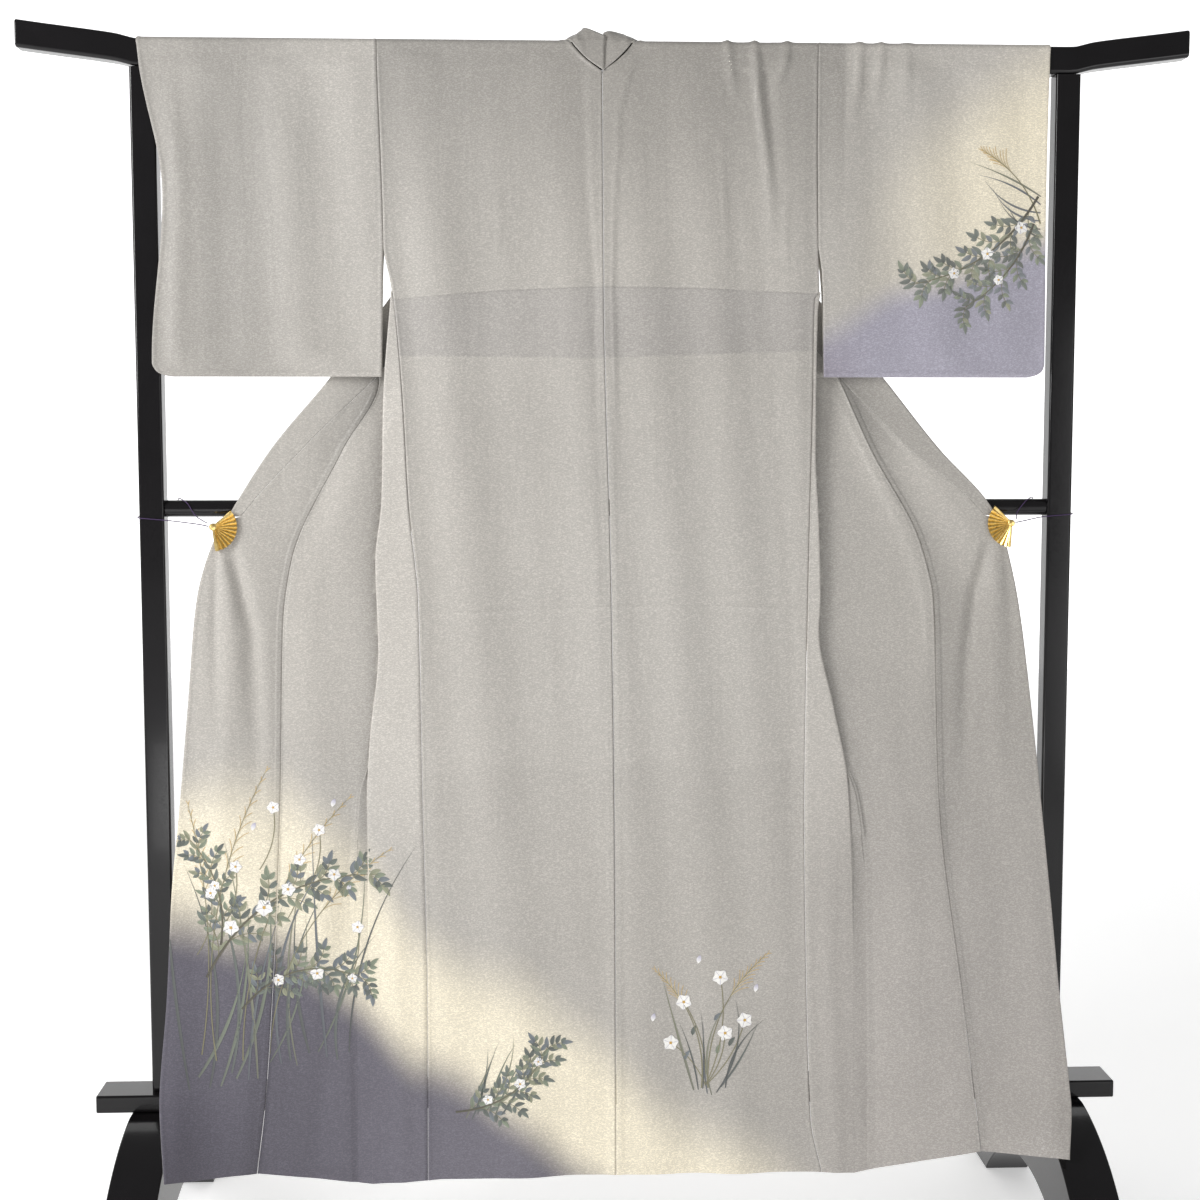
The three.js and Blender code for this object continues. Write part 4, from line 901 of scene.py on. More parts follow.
# ---- sleeves -----------------------------------------------------------------------------------
def sleeve(side, far):
    T = SLEEVE_L if side == "left" else SLEEVE_R
    s = -1 if side == "left" else 1
    xin = lambda z: float(lerp_table(T["inner"], z))
    xout = Smooth(T["far"] if far else T["near"])
    yin, yout = Smooth(SL_FAR_IN if far else SL_NEAR_IN), Smooth(SL_FAR_OUT if far else SL_NEAR_OUT)
    u = spaced(335, 1.2, 5.5)
    rows = []
    for y, z in over_rail(-1 if far else 1):
        a, b = np.array([T["inner"][0][1], y, z]), np.array([(T["far"] if far else T["near"])[0][1], y, z])
        rows.append(a + (b - a) * u[:, None])
    zz = list(np.arange(1810, 1352, -5.5)) + list(np.linspace(1352, 1333, 12))
    for z in zz:
        k = step(np.array(float(z)), 1781, 1806)
        face = 18.8 if far else -18.8
        ya, yb = float(yin(z)) * (1 - k) + face * k, float(yout(z)) * (1 - k) + face * k
        a, b = np.array([xin(z), ya, z]), np.array([float(xout(z)), yb, z])
        r = a + (b - a) * u[:, None]
        # the bottom and the closed part of the outer edge draw the two halves together
        pull = (1 - step(np.array(float(z)), 1333.2, 1338)) * 0.9
        r[:, 1] += (pull if not far else -pull * 0.5)
        rows.append(r)
    P = np.array(rows)
    P[:, 0, 0] += s * 0.16
    x, z = P[:, :, 0], P[:, :, 2]
    uu = u[None, :]
    edge = np.clip(np.minimum(uu, 1 - uu) * 12, 0, 1) * (1 - step(z, 1770, 1800)) * step(z, 1334, 1372)
    R = 3.6 * slow(x, z, 3 + (1 if far else 0)) * edge
    if not far:
        if side == "left":
            R = R + edge * (5.0 * bump(x - path_x([[-478, 1800], [-474, 1600], [-462, 1340]], z), 34)
                            - 3.8 * bump(x - path_x([[-575, 1800], [-566, 1600], [-560, 1340]], z), 26)
                            + 3.6 * bump(x - path_x([[-640, 1800], [-632, 1600], [-640, 1340]], z), 17)) * step(z, 1790, 1640)
        else:
            R = R + edge * (2.4 * bump(x - 470, 50) - 1.8 * bump(x - 380, 26))
        R = R + fold_relief(x, z)
        R = np.maximum(R, np.where(z > 1780, -0.3, -2.6))
        R = R + 0.5 * bump(uu * 335 - 3, 2.2) - 0.7 * bump(uu * 335, 0.9)
        R = R + 0.6 * bump((1 - uu) * 335 - 3, 2.5) + 0.7 * bump(z - 1338, 3.5)
    else:
        R = np.maximum(R * 0.6, -0.4)
        # the far half gathers with the near one on the rail
        R = R + np.where(P[:, :, 1] < 16, fold_relief(x, z), 0)
    name = "cloth_sleeve_" + side + ("_front" if far else "_back")
    outer = (-1 if side == "left" else 1) * (-1 if far else 1)
    shell(name, P, "sleeve_" + side, "sleeve_" + side + ("_front" if far else "_back"), outer=outer, relief=R)


for sd in ("left", "right"):
    back_panel(sd)
    bands_, turns_ = front_panel(sd)
    split_ = okumi_panel(sd, bands_)
    collar(sd, bands_, turns_, split_)
    sleeve(sd, False)
    sleeve(sd, True)
# ---- brushed sprays ----------------------------------------------------------------------------
CAM = np.array([-123.4, -2600.0, 1220.2])
VIEWED = ["cloth_back_left", "cloth_back_right", "cloth_front_left", "cloth_front_right", "cloth_okumi_left", "cloth_okumi_right",
          "cloth_sleeve_left_back", "cloth_sleeve_right_back"]


def outer_tree():
    vs, fs, owner, base = [], [], [], 0
    for name in VIEWED:
        A = SURFACES[name]["A"]
        m, n = A.shape[:2]
        i, j = np.meshgrid(np.arange(m - 1), np.arange(n - 1), indexing="ij")
        q = (i * n + j).ravel() + base
        vs.append(A.reshape(-1, 3))
        fs.append(np.stack([q, q + 1, q + n + 1, q + n], 1))
        owner.append(np.full(len(q), len(owner)))
        base += m * n
    return BVHTree.FromPolygons(np.concatenate(vs).tolist(), np.concatenate(fs).tolist()), np.concatenate(owner)


TREE, OWNER = outer_tree()
brush = {name: {"v": [], "f": [], "c": []} for name in VIEWED}


def stroke(pts, width, c0, c1=None, lift=0.55, shade=0.0, every=2.2):
    """One brush stroke along 2-D points (mm, x and z as seen from the front of the stand), laid on the cloth.
    width runs over 0..1 along it; the colour goes from c0 to c1, and one side is shaded."""
    pts = np.asarray(pts, float)
    s = np.concatenate([[0], np.cumsum(np.linalg.norm(np.diff(pts, axis=0), axis=1))])
    n = max(3, int(s[-1] / every) + 1)
    t = np.linspace(0, 1, n)
    p = np.stack([np.interp(t * s[-1], s, pts[:, k]) for k in range(2)], 1)
    if len(pts) > 2:
        for _ in range(2):
            p[1:-1] = (p[:-2] + 2 * p[1:-1] + p[2:]) / 4
    d = np.gradient(p, axis=0)
    d /= np.maximum(np.linalg.norm(d, axis=1, keepdims=True), 1e-6)
    nrm = np.stack([-d[:, 1], d[:, 0]], 1)
    w = np.array([max(0.12, width(k)) for k in t])
    c1 = c0 if c1 is None else c1
    hits = []
    for i in range(n):
        row = []
        for k in (-1, 0, 1):
            q = p[i] + nrm[i] * w[i] * k / 2
            dr = Vector((q[0] + 123.4, 2575.0, q[1] - 1220.2)).normalized()
            loc, nor, fi, dist = TREE.ray_cast(Vector(CAM), dr)
            if loc is None:
                row.append(None)
                continue
            if nor.dot(dr) > 0:
                nor = -nor
            col = (c0 + (c1 - c0) * t[i]) * (1 - shade * (k + 1) / 2)
            row.append((loc + nor * lift, int(OWNER[fi]), col))
        hits.append(row)
    for i in range(n - 1):
        for k in range(2):
            q = [hits[i][k], hits[i][k + 1], hits[i + 1][k + 1], hits[i + 1][k]]
            if any(h is None for h in q) or len({h[1] for h in q}) > 1:
                continue
            ys = [h[0][1] for h in q]
            if max(ys) - min(ys) > 1.6:
                continue
            b = brush[VIEWED[q[0][1]]]
            base = len(b["v"])
            for h in q:
                b["v"].append(tuple(h[0]))
                b["c"].append(h[2])
            b["f"].append((base, base + 1, base + 2, base + 3))


def curve(a, b, bend, n=9):
    a, b = np.array(a, float), np.array(b, float)
    t = np.linspace(0, 1, n)[:, None]
    d = b - a
    return a + d * t + np.array([-d[1], d[0]]) * bend * 4 * t * (1 - t)


def leaf_w(w, peak=0.42):
    return lambda t: w * (math.sin(math.pi * min(1, max(0, t ** (math.log(0.5) / math.log(peak))))) ** 0.8)


GREENS = [lin(128, 136, 118), lin(110, 117, 110), lin(142, 144, 122), lin(116, 122, 126), lin(98, 103, 98)]
OLIVE, BARK, WHITE_D, GOLD_D, LILAC = lin(128, 124, 98), lin(92, 88, 78), lin(244, 242, 238), lin(196, 160, 84), lin(168, 164, 186)
rnd = random.Random(41)


def leaf(at, ang, length, w, bend, pale=0.0, lift=0.5):
    c = GREENS[rnd.randrange(len(GREENS))]
    c = c + (lin(196, 192, 184) - c) * pale
    a = np.array(at, float)
    b = a + length * np.array([math.cos(ang), math.sin(ang)])
    stroke(curve(a, b, bend, 7), leaf_w(w), c, c * 1.25, lift=lift, shade=0.22)
    if w > 4:
        stroke(curve(a, b, bend, 7), lambda t: 0.5 * (1 - t) + 0.15, c * 0.72, lift=lift + 0.12)


def bell(at, r, ang, pale=0.0):
    """A five-lobed bellflower, seen open."""
    for k in range(5):
        a = ang + k * 2 * math.pi / 5
        c = np.array(at, float)
        e = c + r * np.array([math.cos(a), math.sin(a)])
        stroke([c, (c + e) / 2, e], lambda t: r * 0.98 * math.sin(math.pi * min(1, 0.16 + 0.84 * t)) ** 0.75, WHITE_D, WHITE_D * 0.93, lift=0.5 + 0.05 * k, shade=0.08, every=1.3)
        stroke([c, e], lambda t: 0.45, LILAC, lift=0.86, every=2)
    stroke([np.array(at) - [r * 0.16, 0], np.array(at) + [r * 0.16, 0]], lambda t: r * 0.32, GOLD_D, lift=1.0, every=0.8)


def bud(at, ang, length):
    a = np.array(at, float)
    stroke(curve(a, a + length * np.array([math.cos(ang), math.sin(ang)]), 0.05, 5), leaf_w(length * 0.55, 0.5), WHITE_D, LILAC, lift=0.5, every=1.3)


def grass(root, tip, bend, plume=True, pale=0.0):
    """One stalk of pampas grass: a thin stem and a one-sided plume."""
    c = curve(root, tip, bend, 24)
    stroke(c, lambda t: 1.5 * (1 - t) + 0.5, OLIVE * (1 + pale), OLIVE * 1.15, shade=0.2)
    if not plume:
        return
    for i in range(15, 24):
        d = c[min(i + 1, 23)] - c[i - 1]
        a0 = math.atan2(d[1], d[0])
        for s_ in (-1, 1):
            a = a0 + s_ * (0.22 + 0.03 * (23 - i)) - 0.12
            l = 12 + 2.6 * (23 - i) * (0.75 + 0.5 * rnd.random())
            b = c[i] + l * np.array([math.cos(a), math.sin(a)])
            stroke(curve(c[i], b, -0.10 * s_, 6), lambda t: 1.5 * (1 - 0.6 * t), lin(206, 196, 168), GOLD_D * 1.1, lift=0.42, shade=0.15)


def blade(root, tip, bend, w, pale=0.0):
    c = GREENS[rnd.randrange(len(GREENS))]
    c = c + (lin(200, 196, 190) - c) * pale
    stroke(curve(root, tip, bend, 18), lambda t: 0.8 * w * (0.55 + 0.45 * math.sin(math.pi * min(1, t * 1.4))) * (1 - t ** 3), c * 0.55 + PURPLE * 0.3, c * 1.05, shade=0.25, lift=0.5)


def spray(root, tip, bend, sprigs, size=1.0, flowers=(), pale=0.0):
    """An arching stem with side sprigs of small leaves, thinning to the tip."""
    c = curve(root, tip, bend, 40)
    stroke(c, lambda t: (3.0 * (1 - t) + 0.7) * size, BARK, OLIVE, shade=0.35)
    for i in range(4, 39, max(1, 34 // sprigs)):
        d = c[min(i + 1, 39)] - c[i - 1]
        a0 = math.atan2(d[1], d[0])
        s_ = 1 if (i // max(1, 34 // sprigs)) % 2 else -1
        a = a0 + s_ * (0.62 + 0.25 * rnd.random())
        l = (46 - 22 * i / 40) * size * (0.8 + 0.4 * rnd.random())
        e = c[i] + l * np.array([math.cos(a), math.sin(a)])
        g = curve(c[i], e, -0.12 * s_, 12)
        stroke(g, lambda t: 0.95 * size, OLIVE, lift=0.5)
        for j in range(2, 12, 3):
            dd = g[min(j + 1, 11)] - g[j - 1]
            b0 = math.atan2(dd[1], dd[0])
            for q in (-1, 1):
                leaf(g[j], b0 + q * (0.72 + 0.2 * rnd.random()), (19 - 0.6 * j) * size * (0.85 + 0.4 * rnd.random()), 7.0 * size, 0.08 * q, pale)
        leaf(e, math.atan2(g[-1][1] - g[-3][1], g[-1][0] - g[-3][0]), 19 * size, 6.8 * size, 0.05, pale)
    for f, r in flowers:
        p = c[int(f * 39)]
        o = np.array([rnd.uniform(-9, 9), rnd.uniform(-9, 9)]) * size
        bell(p + o, r * size, rnd.random() * 6)


# lower left: a clump of grass and sprays rising from the hem side of the overlap panel
for k in range(17):
    x0 = -640 + k * 15 + rnd.uniform(-6, 6)
    blade((x0, 262 + k * 3 + rnd.uniform(-14, 14)), (x0 + rnd.uniform(-60, 118), 470 + rnd.uniform(0, 190)), rnd.uniform(-0.12, 0.12), rnd.uniform(3.6, 7.0))
grass((-600, 300), (-520, 742), 0.08)
grass((-560, 300), (-398, 700), 0.10)
grass((-622, 310), (-634, 690), -0.05)
grass((-520, 310), (-340, 620), 0.12)
spray((-612, 430), (-352, 586), 0.16, 11, 1.15, [(0.28, 11), (0.42, 12), (0.6, 10), (0.8, 9)])
spray((-560, 380), (-366, 420), 0.20, 9, 1.0, [(0.35, 10), (0.62, 11), (0.86, 8)])
spray((-590, 480), (-640, 650), -0.12, 7, 0.9, [(0.55, 9)])
for p in [(-470, 610), (-440, 655), (-566, 600), (-508, 690), (-604, 560), (-384, 505)]:
    bell(p, 10, rnd.random() * 6)
    stroke(curve(p, (p[0] - 22, p[1] - 95), 0.1, 12), lambda t: 1.2, OLIVE, lift=0.5)
for p in [(-420, 690), (-540, 655), (-398, 560)]:
    bud(p, 1.2, 13)
# back panel, left of the centre seam: a low spray
spray((-238, 214), (-96, 318), -0.16, 9, 0.95, [(0.3, 9), (0.66, 10), (0.9, 8)])
for k in range(7):
    blade((-222 + k * 9, 206 + rnd.uniform(-5, 5)), (-196 + k * 16 + rnd.uniform(-20, 20), 285 + rnd.uniform(0, 55)), rnd.uniform(-0.12, 0.12), rnd.uniform(2.8, 4.6))
# back panel, right of the centre seam: grass with bellflowers
for k in range(8):
    blade((128 + k * 7, 240 + rnd.uniform(-8, 8)), (84 + k * 24 + rnd.uniform(-14, 14), 345 + rnd.uniform(0, 80)), rnd.uniform(-0.14, 0.14), rnd.uniform(3.0, 5.4))
grass((150, 246), (236, 452), 0.12)
grass((140, 246), (72, 428), -0.12)
for p, l in [((112, 382), 120), ((168, 420), 150), ((206, 352), 90), ((92, 318), 60), ((176, 332), 70)]:
    stroke(curve(p, (146, 250), 0.08, 16), lambda t: 1.4, OLIVE, lift=0.5)
    bell(p, 12.5, rnd.random() * 6)
    leaf((p[0] * 0.6 + 146 * 0.4, p[1] * 0.6 + 250 * 0.4), 0.5 + rnd.random() * 2, 17, 6.5, 0.1)
for p in [(134, 442), (222, 396), (64, 352)]:
    bud(p, 1.3, 13)
# right sleeve: a hanging spray with a few flowers
spray((636, 1600), (446, 1470), 0.12, 10, 1.0, [(0.25, 10), (0.5, 10), (0.75, 9)], 0.1)
spray((630, 1560), (520, 1432), 0.10, 7, 0.9, [(0.6, 9)], 0.1)
grass((640, 1560), (556, 1664), -0.10)
for k in range(6):
    blade((640, 1540 + k * 12), (590 - k * 12, 1600 + k * 9 + rnd.uniform(-16, 12)), rnd.uniform(-0.15, 0.15), 3.6, 0.1)

for name in VIEWED:
    b = brush[name]
    if not b["f"]:
        continue
    o = put("spray_" + name[6:], b["v"], b["f"], [PAINT], None, np.array(b["c"]))
    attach(o, "root")


# ---- the stand ---------------------------------------------------------------------------------
def ring_loft(name, rings, mats, node=None, smooth=True, sharp=35):
    R = np.asarray(rings, float)
    m, n = R.shape[:2]
    faces = []
    for i in range(m - 1):
        for j in range(n):
            k = (j + 1) % n
            faces.append((i * n + j, i * n + k, (i + 1) * n + k, (i + 1) * n + j))
    V = np.concatenate([R.reshape(-1, 3), R[0].mean(0)[None], R[-1].mean(0)[None]])
    a, b = m * n, m * n + 1
    me = bpy.data.meshes.new(name)
    tri = [(a, (j + 1) % n, j) for j in range(n)] + [(b, (m - 1) * n + j, (m - 1) * n + (j + 1) % n) for j in range(n)]
    me.from_pydata((V * MM).tolist(), [], faces + tri)
    for mt in mats:
        me.materials.append(mt)
    me.update()
    import bmesh
    bm = bmesh.new()
    bm.from_mesh(me)
    bmesh.ops.recalc_face_normals(bm, faces=bm.faces)
    bm.to_mesh(me)
    bm.free()
    me.polygons.foreach_set("use_smooth", np.full(len(me.polygons), smooth))
    me.set_sharp_from_angle(angle=math.radians(sharp))
    o = bpy.data.objects.new(name, me)
    bpy.context.scene.collection.objects.link(o)
    w = o.modifiers.new("weighted", "WEIGHTED_NORMAL")
    w.keep_sharp = True
    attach(o, "root")
    if node:
        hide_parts(node)
    return o


def rounded(w, h, r, steps=7):
    out = []
    for cx, cy, a0 in ((w / 2 - r, h / 2 - r, 0), (-w / 2 + r, h / 2 - r, 90), (-w / 2 + r, -h / 2 + r, 180), (w / 2 - r, -h / 2 + r, 270)):
        for i in range(steps + 1):
            a = math.radians(a0 + 90 * i / steps)
            out.append((cx + r * math.cos(a), cy + r * math.sin(a)))
    return out


def capped(lo, hi, r, n=5):
    """Stations with the inset of a rounded end at both ends."""
    a = [(lo + r * (1 - math.cos(math.pi / 2 * k / n)), r * (1 - math.sin(math.pi / 2 * k / n))) for k in range(n + 1)]
    b = [(hi - (x - lo), e) for x, e in reversed(a)]
    return a + b


RISE = Smooth([[0, 0], [676, 0], [690, 0.35], [703, 3.2], [716, 6.5], [750, 11.5], [790, 16.5], [830, 21.5], [858, 25.2], [862.5, 25.8]])
st = capped(-862, 862, 2.2, 4)
inner_x = [(float(x), 0.0) for x in np.concatenate([np.arange(-856, -664, 5.0), np.arange(-660, 661, 60.0), np.arange(668, 858, 5.0)])]
st = sorted(st + inner_x)
rings = []
for x, e in st:
    up = float(RISE(abs(x)))
    rings.append([(x, a, b + 1801 + up) for a, b in rounded(34 - 2 * e, 40 - 2 * e, 6 - min(e, 4))])
ring_loft("rail_top_lacquer", rings, [LACQUER], "top_rail")
for s in (-1, 1):
    cx = s * 681.5
    rings = [[(cx + a, b, z) for a, b in rounded(37 - 2 * e, 32 - 2 * e, 4 - min(e, 3))] for z, e in capped(250.32, 1780.68, 0.9, 3)]
    ring_loft("post_%s_lacquer" % ("left" if s < 0 else "right"), rings, [LACQUER], "post_left" if s < 0 else "post_right")
rings = [[(x, (12.5 - e) * math.cos(a), 1138.5 + (12.5 - e) * math.sin(a)) for a in np.linspace(0, 2 * math.pi, 48, endpoint=False)] for x, e in capped(-662.68, 662.68, 0.6, 2)]
ring_loft("rail_middle_lacquer", rings, [LACQUER], "mid_rail")
rings = [[(x, a, b + 236.5) for a, b in rounded(66 - 2 * e, 27 - 2 * e, 3.5 - min(e, 3))] for x, e in capped(-781, 781, 1.6, 4)]
ring_loft("board_cross_lacquer", rings, [LACQUER], "cross_board")


def foot(side):
    """An arched foot: its outline, with a small round on its long edges."""
    s = -1 if side == "left" else 1
    R, top = 335.0, 222.68
    c = 226 - R
    ac = 105 - 304.0
    ay = math.sqrt(304.0 ** 2 - ac ** 2)
    toe = math.sqrt(R * R - (8 - c) ** 2)
    ys = np.concatenate([np.linspace(-toe - 1, -ay - 2, 8), np.linspace(-ay, ay, 90), np.linspace(ay + 2, toe + 1, 8)])
    rings = []
    x0, x1 = (-728, -655) if s < 0 else (655, 728)
    for k, y in enumerate(ys):
        hi = min(top, c + math.sqrt(max(0, R * R - min(abs(y), toe) ** 2)))
        lo = max(0.0, ac + math.sqrt(304.0 ** 2 - y * y)) if abs(y) < ay else 0.0
        e = 0.9 if k in (0, len(ys) - 1) else 0.0
        w, h = x1 - x0 - 2 * e, max(hi - lo - 2 * e, 1.0)
        r = min(2.6, h * 0.45)
        mid = ((x0 + x1) / 2, (hi + lo) / 2)
        rings.append([(mid[0] + a, y, mid[1] + b) for a, b in rounded(w, h, r, 5)])
    return ring_loft("foot_%s_lacquer" % side, rings, [LACQUER], "foot_" + side, sharp=40)


foot("left")
foot("right")


# ---- clips and cords ---------------------------------------------------------------------------
def join(name, parts):
    V, F, base = [], [], 0
    for v, f in parts:
        V += v
        F += [tuple(i + base for i in q) for q in f]
        base += len(v)
    me = bpy.data.meshes.new(name)
    me.from_pydata((np.array(V) * MM).tolist(), [], F)
    me.materials.append(GOLD)
    me.update()
    import bmesh
    bm = bmesh.new()
    bm.from_mesh(me)
    bmesh.ops.recalc_face_normals(bm, faces=bm.faces)
    bm.to_mesh(me)
    bm.free()
    me.polygons.foreach_set("use_smooth", np.full(len(me.polygons), True))
    me.set_sharp_from_angle(angle=math.radians(28))
    o = bpy.data.objects.new(name, me)
    bpy.context.scene.collection.objects.link(o)
    return o


def closed_rings(rings):
    R = np.asarray(rings, float)
    m, n = R.shape[:2]
    F = [(i * n + j, i * n + (j + 1) % n, (i + 1) * n + (j + 1) % n, (i + 1) * n + j) for i in range(m - 1) for j in range(n)]
    V = R.reshape(-1, 3).tolist() + [R[0].mean(0).tolist(), R[-1].mean(0).tolist()]
    F += [(m * n, (j + 1) % n, j) for j in range(n)] + [(m * n + 1, (m - 1) * n + j, (m - 1) * n + (j + 1) % n) for j in range(n)]
    return V, F


def fan_plate(px, pz, a0, a1, y0, amp, r1, r0, t, ribs=11, scallop=1.2):
    """A folded plate: sharp ridges and valleys, a little shell edge at each rib."""
    n = ribs * 8
    rs = np.linspace(0, 1, 12)
    front, back = [], []
    for k in range(n + 1):
        u = k / n
        a = math.radians(a0 + (a1 - a0) * u)
        ph = (u * ribs) % 1
        tri = 1 - abs(2 * ph - 1) * 2
        edge = r1 + scallop * (abs(math.sin(math.pi * u * ribs)) - 0.6)
        rowf, rowb = [], []
        for f in rs:
            r = r0 + (edge - r0) * f
            d = amp * tri * r / r1
            rowf.append((px + r * math.cos(a), y0 - t / 2 - d, pz + r * math.sin(a)))
            rowb.append((px + r * math.cos(a), y0 + t / 2 - d, pz + r * math.sin(a)))
        front.append(rowf)
        back.append(rowb)
    A, B = np.array(front), np.array(back)
    m, w = A.shape[:2]
    V = A.reshape(-1, 3).tolist() + B.reshape(-1, 3).tolist()
    o = m * w
    F = []
    for i in range(m - 1):
        for j in range(w - 1):
            q = i * w + j
            F += [(q, q + 1, q + w + 1, q + w), (q + o, q + w + o, q + w + 1 + o, q + 1 + o)]
    rim = list(range(w)) + [i * w + w - 1 for i in range(1, m)] + list(range((m - 1) * w + w - 2, (m - 1) * w - 1, -1)) + [i * w for i in range(m - 2, 0, -1)]
    for a, b in zip(rim, rim[1:] + rim[:1]):
        F.append((a, b, b + o, a + o))
    return V, F


def puck(px, pz, prof, n=32):
    return closed_rings([[(px + r * math.cos(a), y, pz + r * math.sin(a)) for a in np.linspace(0, 2 * math.pi, n, endpoint=False)] for y, r in prof])


for side, pv, a0, a1, cy in (("left", (-589, 1112), 40, -83, -24.6), ("right", (604, 1115), 140, 263, -24.4)):
    fy, by = cy - 5.6, cy + 3.0
    parts = [fan_plate(pv[0], pv[1], a0, a1, fy, 1.5, 35.6, 4, 1.1), fan_plate(pv[0], pv[1], a0, a1, by, 0.3, 28.8, 4, 1.0, scallop=0)]
    parts.append(puck(pv[0], pv[1], [(by + 1.0, 4.6), (by + 0.7, 5.2), (fy - 1.1, 5.2), (fy - 1.9, 4.4), (fy - 2.2, 3.0), (fy - 2.6, 1.4)]))
    # guard ribs at the fan's two outer sticks
    for ang in (a0, a1):
        a = math.radians(ang + (2.2 if ang == a1 else -2.2))
        d, nr = np.array([math.cos(a), math.sin(a)]), np.array([-math.sin(a), math.cos(a)])
        rg = []
        for r, w in ((3, 1.2), (8, 1.5), (20, 1.9), (32, 2.4), (35.5, 2.2), (36.2, 1.2)):
            cpt = np.array(pv) + d * r
            yk = fy - 0.5 - 1.1 * r / 36
            rg.append([(cpt[0] + nr[0] * w * cx_, yk + 0.9 * cy_ - 0.4, cpt[1] + nr[1] * w * cx_) for cx_, cy_ in ((1, -0.3), (0.6, -1), (-0.6, -1), (-1, -0.3), (-1, 0.8), (1, 0.8))])
        parts.append(closed_rings(rg))
    o = join("fan_clip_" + side, parts)
    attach(o, "root")
    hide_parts("clip_" + side)


def tube(name, pts, r, node):
    pts = catmull(np.array(pts, float)[:, None, :], 10)[:, 0]
    w = Walk(pts)
    n = int(w.total / 1.1)
    P = w.at(np.linspace(0, w.total, n))
    for _ in range(3):
        P[1:-1] = (P[:-2] + 2 * P[1:-1] + P[2:]) / 4
    up = np.array([0, 0, 1.0])
    rings, sides = [], 10
    for i in range(n):
        e = P[min(i + 1, n - 1)] - P[max(i - 1, 0)]
        e /= np.linalg.norm(e)
        up = up - e * up.dot(e)
        up /= np.linalg.norm(up)
        wv = np.cross(e, up)
        row = []
        for k in range(sides):
            a = 2 * math.pi * k / sides
            rr = r * (1 + 0.10 * math.cos(3 * a + i * 0.9))
            row.append(P[i] + up * rr * math.cos(a) + wv * rr * math.sin(a))
        rings.append(row)
    o = ring_loft(name, rings, [CORD_M], node, sharp=80)
    L = float(np.linalg.norm(np.diff(P, axis=0), axis=1).sum())
    return o, P, L


CORDS = {}
for side, s, (px, pz), cl in (("left", -1, (-589, 1112), -24.6), ("right", 1, (604, 1115), -24.4)):
    over1 = 1138.5 + 12.5 + 1.6
    pts = [(px + s * 6.6, cl - 5.5, pz + 1), (px + s * 25, -22, pz + 4), (s * 655, -18.6, pz + 9), (s * 690, -18, pz + 12), (s * 700.5, -16.8, pz + 13),
           (s * 702.6, -8, pz + 14), (s * 702.6, 8, pz + 16), (s * 700.5, 16.8, pz + 18), (s * 690, 18, pz + 20), (s * 672, 18, pz + 24), (s * 660, 17, pz + 27),
           (s * 650, 13, over1 - 7), (s * 646, 7, over1 - 0.2), (s * 642, 0, over1 + 0.6), (s * 636, -8, over1 - 1.6), (s * 628, -13.5, over1 - 7),
           (s * 616, -18, pz + 16), (px + s * 9, cl - 1.5, pz + 5.5)]
    o, P, L = tube("cord_silk_" + side, pts, 0.72, "cord_" + side)
    CORDS[side] = L

# ---- cord lengths ------------------------------------------------------------------------------
print("CORDS", CORDS)

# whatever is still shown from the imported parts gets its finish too
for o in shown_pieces():
    if o.type == "MESH" and not o.data.materials:
        o.data.materials.append(LACQUER)

# ---- floor, light, camera ----------------------------------------------------------------------
fl = bpy.data.meshes.new("floor")
fl.from_pydata([(-14, -14, -0.0005), (14, -14, -0.0005), (14, 22, -0.0005), (-14, 22, -0.0005)], [], [(0, 1, 2, 3)])
floor = bpy.data.objects.new("floor", fl)
bpy.context.scene.collection.objects.link(floor)
fm, nt, b = new_mat("pale_floor")
co = nd(nt, "ShaderNodeTexCoord")
n = nd(nt, "ShaderNodeTexNoise", Scale=3.0, Detail=2.0)
link(nt, co.outputs["Object"], n.inputs["Vector"])
rp = nd(nt, "ShaderNodeValToRGB")
rp.color_ramp.elements[0].color = (0.90, 0.90, 0.90, 1)
rp.color_ramp.elements[1].color = (0.93, 0.93, 0.93, 1)
link(nt, n.outputs["Fac"], rp.inputs[0])
link(nt, rp.outputs[0], b.inputs["Base Color"])
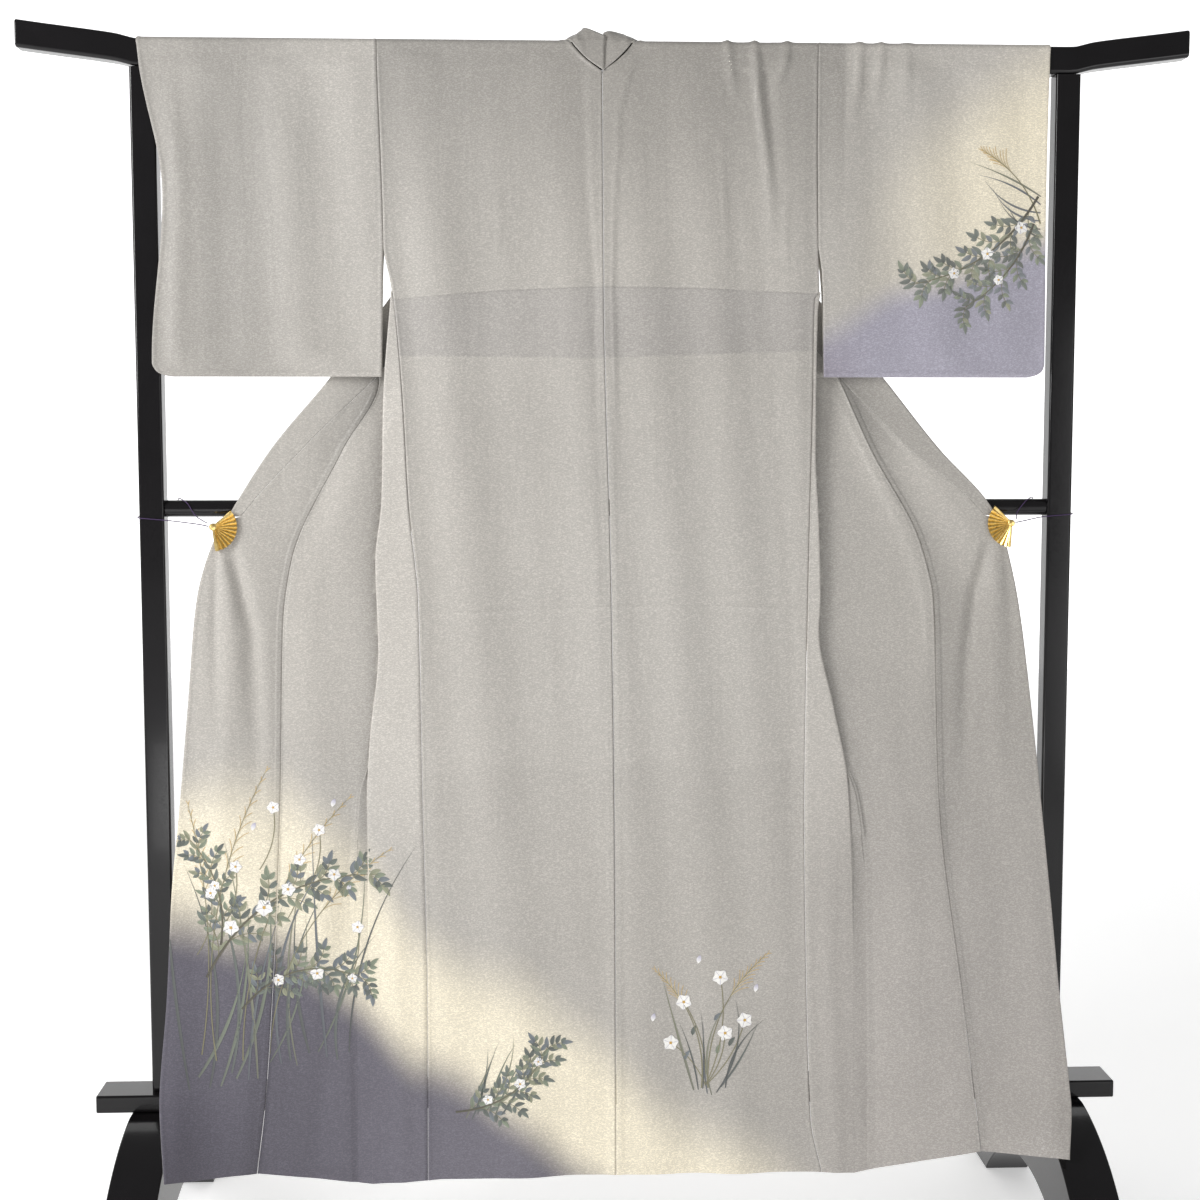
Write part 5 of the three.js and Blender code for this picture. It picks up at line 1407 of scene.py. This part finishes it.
b.inputs["Roughness"].default_value = 0.85
b.inputs["Emission Color"].default_value = (1, 1, 1, 1)
b.inputs["Emission Strength"].default_value = 0.42
fl.materials.append(fm)

sc = bpy.context.scene
sc.view_settings.view_transform = "Standard"
world = bpy.data.worlds.new("studio")
sc.world = world
world.use_nodes = True
bg = world.node_tree.nodes["Background"]
bg.inputs["Color"].default_value = (1.0, 1.0, 1.0, 1)
bg.inputs["Strength"].default_value = 0.27


def light(name, at, to, size, power, colour=(1, 1, 1)):
    l = bpy.data.lights.new(name, "AREA")
    l.shape = "RECTANGLE"
    l.size, l.size_y = size
    l.energy = power
    l.color = colour
    o = bpy.data.objects.new(name, l)
    sc.collection.objects.link(o)
    o.location = at
    d = Vector(to) - Vector(at)
    o.rotation_euler = d.to_track_quat("-Z", "Y").to_euler()
    return o


light("soft_key", (-2.7, -1.7, 2.1), (0, 0, 1.0), (1.0, 1.5), 84)
light("soft_fill", (2.3, -2.7, 0.9), (0, 0, 0.9), (1.5, 1.5), 15)
light("soft_low", (-0.2, -2.4, 0.25), (0, 0, 0.8), (2.0, 0.3), 7)

bd = bpy.data.meshes.new("backdrop")
bd.from_pydata([(-12, 7, -2), (12, 7, -2), (12, 7, 9), (-12, 7, 9)], [], [(0, 1, 2, 3)])
back = bpy.data.objects.new("backdrop", bd)
sc.collection.objects.link(back)
bm_, nt, b = new_mat("pale_backdrop")
b.inputs["Base Color"].default_value = (0.9, 0.9, 0.9, 1)
b.inputs["Roughness"].default_value = 0.9
b.inputs["Emission Color"].default_value = (1, 1, 1, 1)
b.inputs["Emission Strength"].default_value = 0.9
bd.materials.append(bm_)

cam = bpy.data.cameras.new("camera")
cam.lens, cam.sensor_width = 51.73, 36
cam.clip_start, cam.clip_end = 0.05, 100
co_ = bpy.data.objects.new("camera", cam)
sc.collection.objects.link(co_)
co_.location = (-0.1234, -2.600, 1.2202)
co_.rotation_mode = "XYZ"
co_.rotation_euler = (math.pi / 2 - 0.0849, 0.0006, -0.0417)
sc.camera = co_
